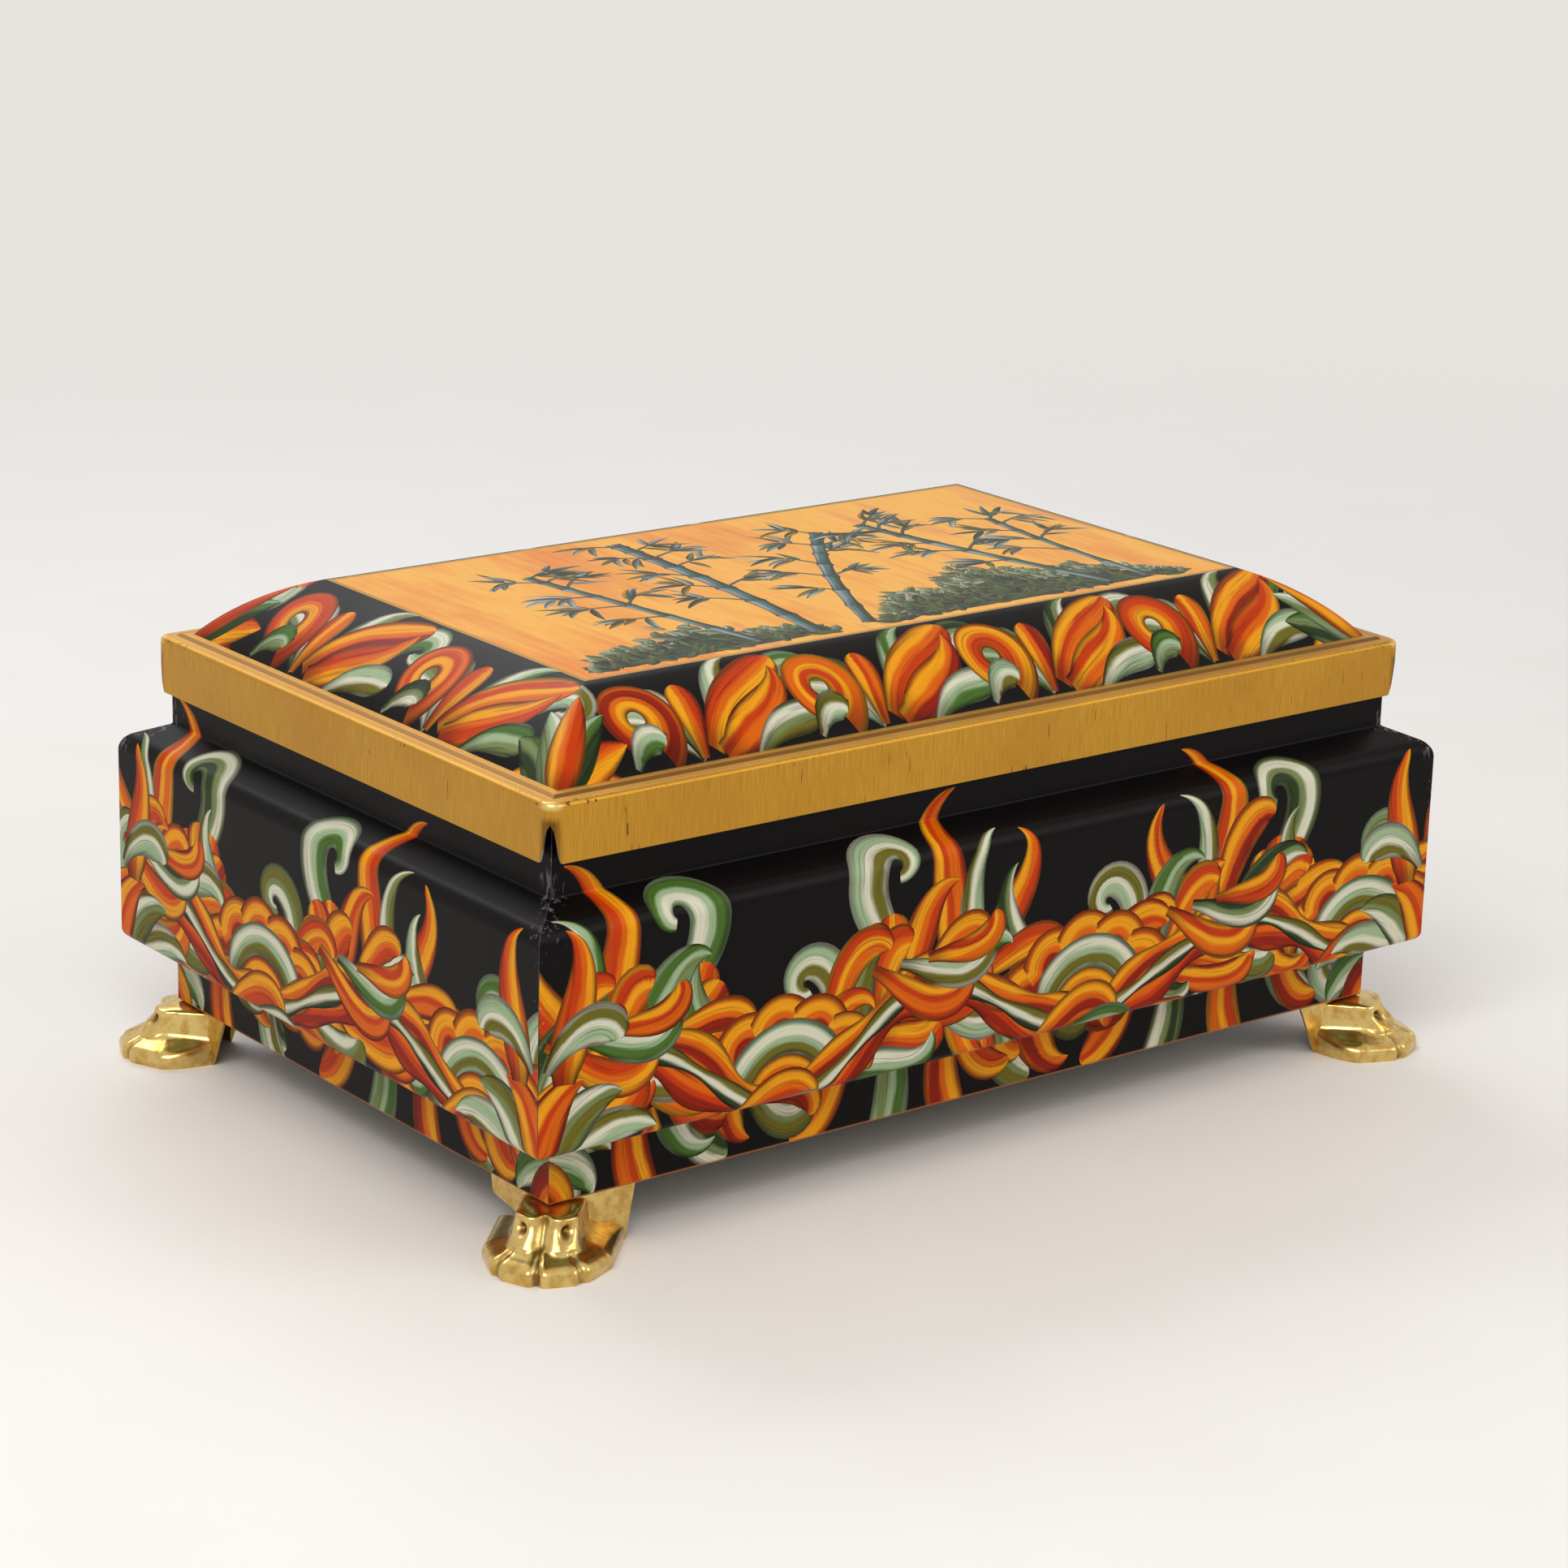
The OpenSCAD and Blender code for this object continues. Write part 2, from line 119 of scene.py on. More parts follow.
class Graph:
    def __init__(self, name, tree=None):
        if tree is None:
            self.material = bpy.data.materials.new(name)
            self.material.use_nodes = True
            tree = self.material.node_tree
        self.tree = tree
        self.tree.nodes.clear()

    def node(self, kind, settings=None, *values, **named):
        whole = kind.startswith(("Geometry", "NodeGroup"))
        node = self.tree.nodes.new(kind if whole else "ShaderNode" + kind)
        for key, value in (settings or {}).items():
            if key == "stops":
                ramp = node.color_ramp
                while len(ramp.elements) < len(value):
                    ramp.elements.new(1.0)
                for element, (place, colour) in zip(ramp.elements, value):
                    element.position, element.color = place, (*colour, 1.0)
            else:
                setattr(node, key, value)
        for index, value in enumerate(values):
            self.feed(node.inputs[index], value)
        for name, value in named.items():
            self.feed(node.inputs[name.replace("_", " ")], value)
        return NodeBox(self, node)

    def feed(self, socket, value):
        if value is None:
            return
        if isinstance(value, Num):
            self.tree.links.new(value.socket, socket)
        elif isinstance(value, bpy.types.NodeSocket):
            self.tree.links.new(value, socket)
        elif isinstance(value, (tuple, list)) and len(value) == 3 and socket.type == "RGBA":
            socket.default_value = (*value, 1.0)
        else:
            socket.default_value = value

    def mix(self, factor, one, other, blend="MIX"):
        node = self.node("Mix", {"data_type": "RGBA", "blend_type": blend, "clamp_factor": True})
        for name, value in (("Factor_Float", factor), ("A_Color", one), ("B_Color", other)):
            self.feed(next(s for s in node.node.inputs if s.identifier == name), value)
        return next(s for s in node.node.outputs if s.identifier == "Result_Color")

    def place(self):  # object coordinates in millimetres
        where = self.node("TexCoord").out("Object")
        return self.node("VectorMath", {"operation": "SCALE"}, where, Scale=1000.0).out()

    def axes(self, vector):
        parts = self.node("SeparateXYZ", None, vector)
        return [parts.number(k) for k in range(3)]

    def noise(self, vector, scale, detail=3.0, roughness=0.5, stretch=None):
        if stretch:
            vector = self.node("VectorMath", {"operation": "MULTIPLY"}, vector, stretch).out()
        node = self.node("TexNoise", {"noise_dimensions": "3D"}, Vector=vector, Scale=scale, Detail=detail,
                         Roughness=roughness)
        return node.number()

    def bump(self, height, strength, distance):
        return self.node("Bump", None, Strength=strength, Distance=distance, Height=height).out()

    def seen(self):  # 1 for what the camera sees, straight on or through gloss and glass
        rays = self.node("LightPath")
        seen = rays.number("Is Camera Ray")
        for kind in ("Is Glossy Ray", "Is Transmission Ray"):
            seen = seen.math("MAXIMUM", rays.number(kind))
        return seen

    def finish(self, **values):
        shader = self.node("BsdfPrincipled", None, **values)
        self.node("OutputMaterial", None, shader.out())
        return self.material


def lin(red, green, blue):  # screen colour 0..255 to linear
    return tuple((c / 12.92 if c <= 0.04045 else ((c + 0.055) / 1.055) ** 2.4)
                 for c in (red / 255, green / 255, blue / 255))


# Sizes in millimetres, as in the part's source

trunk = {
    "lidLength": 224.0, "lidWidth": 146.0, "sheet": 0.4, "seamGap": 0.12,
    "baseZ": 11.7, "plinthTopZ": 21.0, "panelLowZ": 27.3214, "panelTopZ": 67.5214,
    "neckLowZ": 73.7662, "skirtLowZ": 81.3662, "ledgeZ": 93.3662, "crownZ": 107.3662, "rimZ": 92.716,
    "neckInset": 2.3, "panelOut": 6.2, "shoulderPitch": 24.0, "shoulderR": 4.2, "ogeePitch": 15.0,
    "ogeeRoundR": 2.2, "ogeeHollowR": 3.0, "plinthAt": 2.5, "flange": 4.2, "rimR": 0.9, "creaseR": 0.6,
    "skirtCornerR": 2.6, "skirtEdgeR": 1.0, "ledgeWidth": 5.8, "stepHeight": 0.5, "stepAt": 3.2,
    "slopeWidth": 19.8, "slopeBulge": 1.7, "foldWidth": 0.5, "frameLine": 1.1,
}


def arcRows(centre, radius, start, end, steps, hollow=False):
    side = -1.0 if hollow else 1.0
    rows = []
    for i in range(steps + 1):
        a = math.radians(start + (end - start) * i / steps)
        c, s = math.cos(a), math.sin(a)
        rows.append((centre[0] + radius * c, centre[1] + radius * s, side * c, side * s))
    return rows


def makeObject(name, points, faces, materials, faceMaterial=None, smoothAngle=None):
    mesh = bpy.data.meshes.new(name)
    mesh.from_pydata([tuple(p) for p in np.asarray(points) * mm], [], [tuple(f) for f in faces])
    for material in materials:
        mesh.materials.append(material)
    if faceMaterial is not None:
        mesh.polygons.foreach_set("material_index", np.asarray(faceMaterial, dtype=np.int32))
    mesh.shade_smooth()
    if smoothAngle is not None:
        mesh.set_sharp_from_angle(angle=math.radians(smoothAngle))
    made = bpy.data.objects.new(name, mesh)
    bpy.context.scene.collection.objects.link(made)
    return made


# Brush strokes: a spine with half widths, cut into the sheet's own mesh

inks = {
    "yellow": lin(226, 150, 20), "orange": lin(208, 94, 8), "redOrange": lin(186, 56, 7),
    "red": lin(138, 30, 8), "mint": lin(150, 172, 134), "white": lin(206, 204, 180),
    "sage": lin(112, 126, 78), "olive": lin(104, 98, 30), "green": lin(70, 102, 38),
    "darkGreen": lin(40, 56, 26), "teal": lin(66, 108, 108), "black": lin(9, 7, 7), "grey": lin(150, 160, 158),
}
flameInks = [("yellow", "orange", "redOrange"), ("redOrange", "orange", "yellow"), ("orange", "redOrange", "yellow"),
             ("red", "orange", "yellow"), ("orange", "yellow", "redOrange")]
leafInks = [("mint", "white", "olive"), ("olive", "white", "mint"), ("sage", "mint", "green"),
            ("white", "sage", "darkGreen"), ("olive", "sage", "white"), ("green", "mint", "white")]


def flame(n): return flameInks[n % len(flameInks)]
def leaf(n): return leafInks[n % len(leafInks)]


class Painter:
    def __init__(self, seed):
        self.strokes = []
        self.random = random.Random(seed)

    def stroke(self, spine, widths, ink):
        self.strokes.append((np.asarray(spine, float), np.asarray(widths, float), ink, self.random.random()))

    def grow(self, start, bend, form, ink):  # bend: heading, length, turn, late turn; form: a width rule, its values
        spine = curl(start, *bend)
        self.stroke(spine, form[0](len(spine), *form[1:]), ink)


def shares(n):  # closer together towards the tip
    return 1 - (1 - np.linspace(0.0, 1.0, n)) ** 1.6


def curl(start, heading, length, turn, lateTurn=0.0, step=1.3):
    n = max(7, int(length / step))
    t = shares(n + 1)
    angle = np.radians(heading + turn * t + lateTurn * t ** 3)
    hop = length * np.diff(t)
    middle = (angle[1:] + angle[:-1]) / 2
    x = np.concatenate([[0.0], np.cumsum(np.cos(middle) * hop)]) + start[0]
    y = np.concatenate([[0.0], np.cumsum(np.sin(middle) * hop)]) + start[1]
    return np.stack([x, y], 1)


def tapered(n, width, fat=0.45, root=0.0):  # leaf with a tip, fattest at a share of its length
    t = shares(n)
    power = math.log(0.5) / math.log(fat)
    return width * np.maximum(np.sin(np.pi * t ** power) ** 0.75, root * (1 - t) ** 0.5)


def headed(n, width, root=0.2, fat=0.72):  # comma with a round head, fattest at a share of its length
    t = shares(n)
    body = root + (1 - root) * np.sin(np.pi / 2 * np.clip(t / fat, 0, 1)) ** 1.3
    head = np.sqrt(np.clip(1 - ((t - fat) / (1 - fat)) ** 2, 0, 1))
    return width * np.where(t < fat, body, head)


def ribbon(n, width, ends=0.12):
    t = np.linspace(0.0, 1.0, n)
    return width * np.sqrt(np.clip(np.minimum(t, 1 - t) / ends, 0, 1))


def strokeSides(spine, widths):
    along = np.gradient(spine, axis=0)
    along /= np.maximum(np.linalg.norm(along, axis=1, keepdims=True), 1e-9)
    across = np.stack([-along[:, 1], along[:, 0]], 1)
    run = np.concatenate([[0.0], np.cumsum(np.linalg.norm(np.diff(spine, axis=0), axis=1))])
    return spine - across * widths[:, None], spine + across * widths[:, None], run


def topPieces(spots, pieces):  # for each spot, the last convex piece that holds it
    order = np.argsort(spots[:, 0])
    xs = spots[order, 0]
    held = np.full(len(spots), -1)
    for number, piece in enumerate(pieces):
        corners = np.array(piece)
        low, high = np.searchsorted(xs, (corners[:, 0].min(), corners[:, 0].max()))
        near = order[low:high]
        y = spots[near, 1]
        near = near[(y >= corners[:, 1].min()) & (y <= corners[:, 1].max())]
        x, y = spots[near, 0], spots[near, 1]
        within = np.ones(len(near), bool)
        for a, b in zip(corners, np.roll(corners, -1, axis=0)):
            within &= (b[0] - a[0]) * (y - a[1]) - (b[1] - a[1]) * (x - a[0]) > -1e-9
        held[near[within]] = number
    return held


# How finely the strokes are cut into the sheet, in millimetres and square millimetres

cut = {"decimals": 4, "leastArea": 1e-3, "snap": 1e-5, "guesses": 6, "sliver": 0.002, "longestGap": 99, "weld": 0.001}


def pieceValues(spots, corner, value):  # run, side and half width at each spot, from the corners of its piece
    a, b, c, d = (corner[:, k] for k in range(4))
    s, t = np.full((len(a), 1), 0.5), np.full((len(a), 1), 0.5)
    for _ in range(cut["guesses"]):
        miss = a * (1 - s) * (1 - t) + b * s * (1 - t) + c * s * t + d * (1 - s) * t - spots
        alongS, alongT = (b - a) * (1 - t) + (c - d) * t, (d - a) * (1 - s) + (c - b) * s
        det = alongS[:, :1] * alongT[:, 1:] - alongS[:, 1:] * alongT[:, :1]
        det = np.where(np.abs(det) < 1e-6, 1e-6, det)
        s = np.clip(s - (miss[:, :1] * alongT[:, 1:] - miss[:, 1:] * alongT[:, :1]) / det, 0, 1)
        t = np.clip(t - (alongS[:, :1] * miss[:, 1:] - alongS[:, 1:] * miss[:, :1]) / det, 0, 1)
    return (value[:, 0] * (1 - s) * (1 - t) + value[:, 1] * s * (1 - t)
            + value[:, 2] * s * t + value[:, 3] * (1 - s) * t)


def area(a, b, c):  # twice the triangle's, and below zero when it runs clockwise
    return (b[0] - a[0]) * (c[1] - a[1]) - (b[1] - a[1]) * (c[0] - a[0])


def strokePieces(spine, widths):  # convex pieces along a stroke; each corner has its run, side and half width
    one, other, run = strokeSides(spine, widths)
    for i in range(len(spine) - 1):
        quad = [(one[i], run[i], -1.0, widths[i]), (one[i + 1], run[i + 1], -1.0, widths[i + 1]),
                (other[i + 1], run[i + 1], 1.0, widths[i + 1]), (other[i], run[i], 1.0, widths[i])]
        turns = [area(*(quad[k % 4][0] for k in (n, n + 1, n + 2))) for n in range(4)]
        whole = min(turns) > cut["leastArea"]
        for piece in [quad] if whole else [quad[:3], [quad[0], quad[2], quad[3]]]:
            size = area(*(c[0] for c in piece[:3]))
            if abs(size) >= cut["leastArea"]:
                yield piece if size > 0 else piece[::-1]


def cutSheet(ground, strokes, extra=()):  # the ground's triangles, cut along every stroke that lies on it
    points, index, faces = [], {}, []

    def at(p):
        key = tuple(round(float(c), cut["decimals"]) for c in p)
        if key not in index:
            index[key] = len(points)
            points.append(Vector(key))
        return index[key]

    for polygon in ground:
        faces.append([at(p) for p in polygon])
    for p in extra:
        at(p)
    outlines, corners, values, owners = [], [], [], []
    for number, (spine, widths, *_) in enumerate(strokes):
        for piece in strokePieces(spine, widths):
            ids = [at(c[0]) for c in piece]
            if len(set(ids)) < len(ids):
                continue
            faces.append(ids)
            full = piece if len(piece) == 4 else piece + [piece[2]]
            outlines.append([tuple(c[0]) for c in piece])
            corners.append([tuple(c[0]) for c in full])
            values.append([c[1:] for c in full])
            owners.append(number)
    result = geometry.delaunay_2d_cdt(points, [], faces, 1, cut["snap"], True)  # quicker with its ids
    flat = np.array([tuple(p) for p in result[0]])
    triangles = np.array([(f[0], f[k], f[k + 1]) for f in result[2] for k in range(1, len(f) - 1)])
    middles = flat[triangles].mean(axis=1)
    row = topPieces(middles, ground)
    triangles, middles, row = triangles[row >= 0], middles[row >= 0], row[row >= 0]
    top = topPieces(middles, outlines)
    used, renumbered = np.unique(triangles, return_inverse=True)  # drops what lies beyond the sheet
    flat, triangles = flat[used], renumbered.reshape(triangles.shape)
    owner, uvw = np.full(len(triangles), -1), np.zeros((len(triangles), 3, 3))
    painted = top >= 0
    if painted.any():
        top = top[painted]
        owner[painted] = np.array(owners)[top]
        for k in range(3):
            spots = flat[triangles[painted, k]]
            uvw[painted, k] = pieceValues(spots, np.array(corners)[top], np.array(values)[top])
    return flat, triangles, row, owner, uvw


def loneEdges(triangles):
    edges = np.concatenate([triangles[:, [0, 1]], triangles[:, [1, 2]], triangles[:, [2, 0]]])
    seen = {(a, b) for a, b in edges.tolist()}
    return [(a, b) for a, b in edges.tolist() if (b, a) not in seen]


def fitBorder(flat, triangles, border):  # slivers along the edge go or come in until it runs through the border
    border = {(a, b) for a, b in border if a != b}
    following, triangles = dict(border), [tuple(t) for t in triangles.tolist()]
    drop = True
    while drop:
        owner = {}
        for number, (a, b, c) in enumerate(triangles):
            owner[a, b] = owner[b, c] = owner[c, a] = number
        wrong = [(a, b) for a, b in owner if (b, a) not in owner and (a, b) not in border]
        drop = set()
        for a, b in wrong:
            third = next(k for k in triangles[owner[a, b]] if k not in (a, b))
            along, across = flat[b] - flat[a], flat[third] - flat[a]
            if abs(along[0] * across[1] - along[1] * across[0]) < cut["sliver"] * np.hypot(*along):
                drop.add(owner[a, b])
        triangles = [t for number, t in enumerate(triangles) if number not in drop]
    for a, b in wrong:
        chain = [a]
        while chain[-1] != b and chain[-1] in following and len(chain) < cut["longestGap"]:
            chain.append(following[chain[-1]])
        if chain[-1] == b:
            triangles += [(a, chain[k], chain[k + 1]) for k in range(1, len(chain) - 1)]
    return np.array(triangles)


def backSheet(ground, flat, rim):  # the sheet's plain side, and the partner there of each point on the rim
    border = sorted({k for edge in rim for k in edge})
    back, triangles = cutSheet(ground, [], flat[border])[:2]
    spot = {(round(x, 3), round(y, 3)): i for i, (x, y) in enumerate(back.tolist())}
    partner = {}
    for k in border:
        near = spot.get((round(float(flat[k, 0]), 3), round(float(flat[k, 1]), 3)))
        if near is None:
            gaps = np.abs(back - flat[k]).sum(axis=1)
            near = int(np.argmin(gaps))
            if gaps[near] > cut["weld"]:
                near, back = len(back), np.concatenate([back, flat[k:k + 1]])
        partner[k] = near
    return back, fitBorder(back, triangles, [(partner[a], partner[b]) for a, b in rim]), partner


# The bake map of a shell: the printed side, the plain side and the rim lie above each other

bakeRows = {"front": 0.84, "backAt": 0.855, "back": 0.12, "rimAt": 0.985, "rim": 0.008, "across": 0.98}


def printedShell(name, ground, strokes, lay, zones, bakeAt, materials):
    flat, triangles, row, owner, uvw = cutSheet(ground, strokes)
    rim = loneEdges(triangles)
    backFlat, backTriangles, partner = backSheet(ground, flat, rim)
    count, faceCount = len(flat), len(triangles)
    outer, normals = lay(flat, False)
    inner, innerNormals = lay(backFlat, True)
    faces = triangles.tolist() + (backTriangles[:, ::-1] + count).tolist()
    for a, b in rim:
        near, far = partner[a] + count, partner[b] + count
        faces.append((b, a, near, far) if near != far else (b, a, near))
    kind = [0] * faceCount + [1] * (len(faces) - faceCount)
    made = makeObject(name, np.concatenate([outer, inner]), faces, materials, kind)
    mesh = made.data
    loops = np.zeros(len(mesh.loops), dtype=np.int32)
    mesh.loops.foreach_get("vertex_index", loops)
    painted, backed, total = 3 * faceCount, 3 * (faceCount + len(backTriangles)), len(loops)
    front, back = loops[:painted], loops[painted:backed] - count

    strokeUv, strokeSize, bakeUv = (np.zeros((total, 2)) for _ in range(3))
    strokeUv[:painted] = uvw[:, :, :2].reshape(-1, 2)
    strokeSize[:painted, 0] = uvw[:, :, 2].reshape(-1)
    strokeSize[:painted, 1] = np.repeat(np.array([s[3] for s in strokes] + [0.0])[owner], 3)
    b = bakeRows
    bakeUv[:painted] = bakeAt(flat)[front] * (1.0, b["front"])
    bakeUv[painted:backed] = bakeAt(backFlat)[back] * (1.0, b["back"]) + (0.0, b["backAt"])
    hop = b["across"] / max(1, len(rim))
    corners = np.array([(0, 0), (hop * 0.9, 0), (hop * 0.9, b["rim"]), (0, b["rim"])])
    sides = faces[len(faces) - len(rim):]
    bakeUv[backed:] = np.concatenate([corners[:len(side)] + (i * hop, b["rimAt"]) for i, side in enumerate(sides)])
    for layer, data in (("strokeUV", strokeUv), ("strokeSize", strokeSize), ("OFBake", bakeUv)):
        mesh.uv_layers.new(name=layer).data.foreach_set("uv", data.ravel())

    def colourCorners(layer, colour):
        mesh.color_attributes.new(layer, "FLOAT_COLOR", "CORNER").data.foreach_set("color", colour.ravel())

    for slot, letter in enumerate("ABC"):  # the three inks of each stroke
        table = np.array([inks[s[2][slot]] for s in strokes] + [inks["black"]])
        colour = np.ones((total, 4))
        colour[:painted, :3] = np.repeat(table[owner], 3, axis=0)
        colourCorners("ink" + letter, colour)
    marks = np.zeros((total, 4))
    marks[:, 3] = 1.0
    zone = np.repeat(np.asarray(zones)[row], 3)
    marks[:painted, 1], marks[:painted, 2] = zone == 1, zone == 2
    colourCorners("zoneMap", marks)

    custom = np.zeros((total, 3))  # zero keeps the rim's own normal
    custom[:painted], custom[painted:backed] = normals[front], -innerNormals[back]
    mesh.normals_split_custom_set([tuple(n) for n in custom])
    return made


# The walls' profile: distance behind the skirt's face, height, and the outward normal, from the bottom up

def wallProfile():
    t = trunk
    rows = arcRows((t["neckInset"] + t["rimR"], t["rimZ"] - t["rimR"]), t["rimR"], -60, 180, 12)
    rows += arcRows((t["neckInset"] - t["creaseR"], t["neckLowZ"] + t["creaseR"]), t["creaseR"],
                    0, -90 + t["shoulderPitch"], 4, hollow=True)
    rows += arcRows((t["shoulderR"] - t["panelOut"], t["panelTopZ"]), t["shoulderR"],
                    90 + t["shoulderPitch"], 180, 9)
    rows += arcRows((t["ogeeRoundR"] - t["panelOut"], t["panelLowZ"]), t["ogeeRoundR"],
                    180, 270 - t["ogeePitch"], 7)
    rows += arcRows((t["plinthAt"] - t["ogeeHollowR"], t["plinthTopZ"]), t["ogeeHollowR"],
                    90 - t["ogeePitch"], 0, 7, hollow=True)
    low = len(rows)
    rows += arcRows((t["plinthAt"] + t["creaseR"], t["baseZ"] + t["creaseR"]), t["creaseR"], 180, 270, 4)
    rows.append((t["plinthAt"] + t["flange"], t["baseZ"], 0.0, -1.0))
    rows = np.array(rows)
    run = np.concatenate([[0.0], np.cumsum(np.linalg.norm(np.diff(rows[:, :2], axis=0), axis=1))])
    return rows[::-1], (run[low] - run)[::-1]


profile, profileRun = wallProfile()


def makeWall(name, node, length, halfDepth, turn, paint, materials):
    def halfAt(d):
        return length / 2 - d - trunk["seamGap"] / math.sqrt(2)

    ground = []
    for i in range(len(profileRun) - 1):
        a, b = halfAt(profile[i, 0]), halfAt(profile[i + 1, 0])
        low, high = profileRun[i], profileRun[i + 1]
        ground.append([(-a, low), (a, low), (b, high), (-b, high)])
    turned = math.radians(turn)
    c, s = math.cos(turned), math.sin(turned)

    def lay(flat, back):
        d, z, nd, nz = (np.interp(flat[:, 1], profileRun, profile[:, k]) for k in range(4))
        size = np.maximum(np.hypot(nd, nz), 1e-9)
        nd, nz = nd / size, nz / size
        x = flat[:, 0]
        if back:
            deep = d - nd * trunk["sheet"]
            x, d, z = x * halfAt(deep) / halfAt(d), deep, z - nz * trunk["sheet"]
        y = d - halfDepth
        return np.stack([x * c - y * s, x * s + y * c, z], 1), np.stack([-nd * s, nd * c, nz], 1)

    def bakeAt(flat):
        across, rise = flat[:, 0] / (2 * halfAt(-trunk["panelOut"])), flat[:, 1] - profileRun[0]
        scale = bakeRows["across"]
        return np.stack([across * scale + 0.5, rise / (profileRun[-1] - profileRun[0]) * scale + 0.01], 1)

    made = printedShell(name, ground, paint.strokes, lay, [0] * len(ground), bakeAt, materials)
    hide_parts(node)
    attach(made, "box")


# The lid's crown in plan: four slopes to the fold, a thin frame line, and the picture panel

def crownProfile():
    t = trunk
    foot = np.array([t["ledgeWidth"], t["ledgeZ"] + t["stepHeight"]])
    head = np.array([t["ledgeWidth"] + t["slopeWidth"], t["crownZ"]])
    chord = np.linalg.norm(head - foot)
    radius = (chord ** 2 / 4 + t["slopeBulge"] ** 2) / (2 * t["slopeBulge"])
    half = math.degrees(math.asin(chord / 2 / radius))
    pitch = math.degrees(math.atan2(head[1] - foot[1], head[0] - foot[0]))
    centre = (foot + head) / 2 + (radius - t["slopeBulge"]) * np.array(
        [math.sin(math.radians(pitch)), -math.cos(math.radians(pitch))])
    rows = arcRows(centre, radius, 90 + pitch + half, 90 + pitch - half, 12)
    rows = rows[:-1] + [(head[0], head[1], -0.16, 0.987), (head[0] + t["foldWidth"], head[1], 0.0, 1.0),
                        (head[0] + t["foldWidth"] + t["frameLine"], head[1], 0.0, 1.0)]
    return np.array(rows)


crownRows = crownProfile()


def makeCrown(paint, materials):
    halfX, halfY = trunk["lidLength"] / 2, trunk["lidWidth"] / 2
    ground = []
    for i in range(len(crownRows) - 1):
        a, b = crownRows[i, 0], crownRows[i + 1, 0]
        lowX, lowY, highX, highY = halfX - a, halfY - a, halfX - b, halfY - b
        low = [(-lowX, -lowY), (lowX, -lowY), (lowX, lowY), (-lowX, lowY)]
        high = [(-highX, -highY), (highX, -highY), (highX, highY), (-highX, highY)]
        for k in range(4):
            n = (k + 1) % 4
            ground.append([low[k], low[n], high[n], high[k]])
    ground.append(high)
    ledge, hipSoft = crownRows[0, 0], 3.0
    zones = [0] * (4 * (len(crownRows) - 2)) + [1] * 4 + [2]  # slopes, frame line, picture

    def lay(flat, back):
        fromX, fromY = halfX - np.abs(flat[:, 0]), halfY - np.abs(flat[:, 1])
        d = np.minimum(fromX, fromY)
        z, nd, nz = (np.interp(d, crownRows[:, 0], crownRows[:, k]) for k in (1, 2, 3))
        share = np.clip(0.5 + (fromY - fromX) / hipSoft, 0, 1)  # 1 faces along X, softened over the hips
        share = share * share * (3 - 2 * share)
        normals = np.stack([-nd * share * np.sign(flat[:, 0]), -nd * (1 - share) * np.sign(flat[:, 1]), nz], 1)
        normals /= np.linalg.norm(normals, axis=1, keepdims=True)
        if back:
            z = z - trunk["sheet"] / np.maximum(nz, 0.5)
        return np.stack([flat[:, 0], flat[:, 1], z], 1), normals

    def bakeAt(flat):
        return flat / (2 * (halfX - ledge), 2 * (halfY - ledge)) * bakeRows["across"] + 0.5

    made = printedShell("lid_crown", ground, paint.strokes, lay, zones, bakeAt, materials)
    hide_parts("lid")
    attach(made, "lid_assembly")


# The lid's gold band: skirt, rounded edge, ledge and step line, with flared notches in the corners

band = {
    "cornerSteps": 22, "straightStep": 4.0, "skirtRows": 8, "lead": [0.12, 0.3, 0.6, 1.2, 2.4, 4.0],
    "notch": [(0.0, 7.8), (0.75, 6.5), (1.3, 4.1), (1.55, 2.5), (2.4, 0.0)],  # way from the corner, height
    "noNotch": 50.0,
}


def bandPlan():  # rows: place on the skirt's face, outward normal, distance from the corner's middle
    halfX, halfY, r = trunk["lidLength"] / 2, trunk["lidWidth"] / 2, trunk["skirtCornerR"]
    quarter, lead, steps = r * math.pi / 4, band["lead"], band["cornerSteps"]
    plan = []

    def put(degrees, gap, fromCorner):  # a gap runs on past the arc, along the straight side
        a = math.radians(degrees)
        c, s = math.cos(a), math.sin(a)
        plan.append((sx * (halfX - r) + r * c - s * gap, sy * (halfY - r) + r * s + c * gap, c, s, fromCorner))

    for k, (sx, sy) in enumerate([(1, -1), (1, 1), (-1, 1), (-1, -1)]):
        start = -90 + 90 * k
        for gap in reversed(lead):
            put(start, -gap, quarter + gap)
        for i in range(steps + 1):
            put(start + 90 * i / steps, 0.0, abs(i / steps - 0.5) * 2 * quarter)
        for gap in lead:
            put(start + 90, gap, quarter + gap)
        reach = 2 * ((halfY if k % 2 == 0 else halfX) - r - lead[-1])
        hops = int(reach / band["straightStep"])
        for i in range(1, hops):
            put(start + 90, lead[-1] + reach * i / hops, band["noNotch"])
    return np.array(plan)


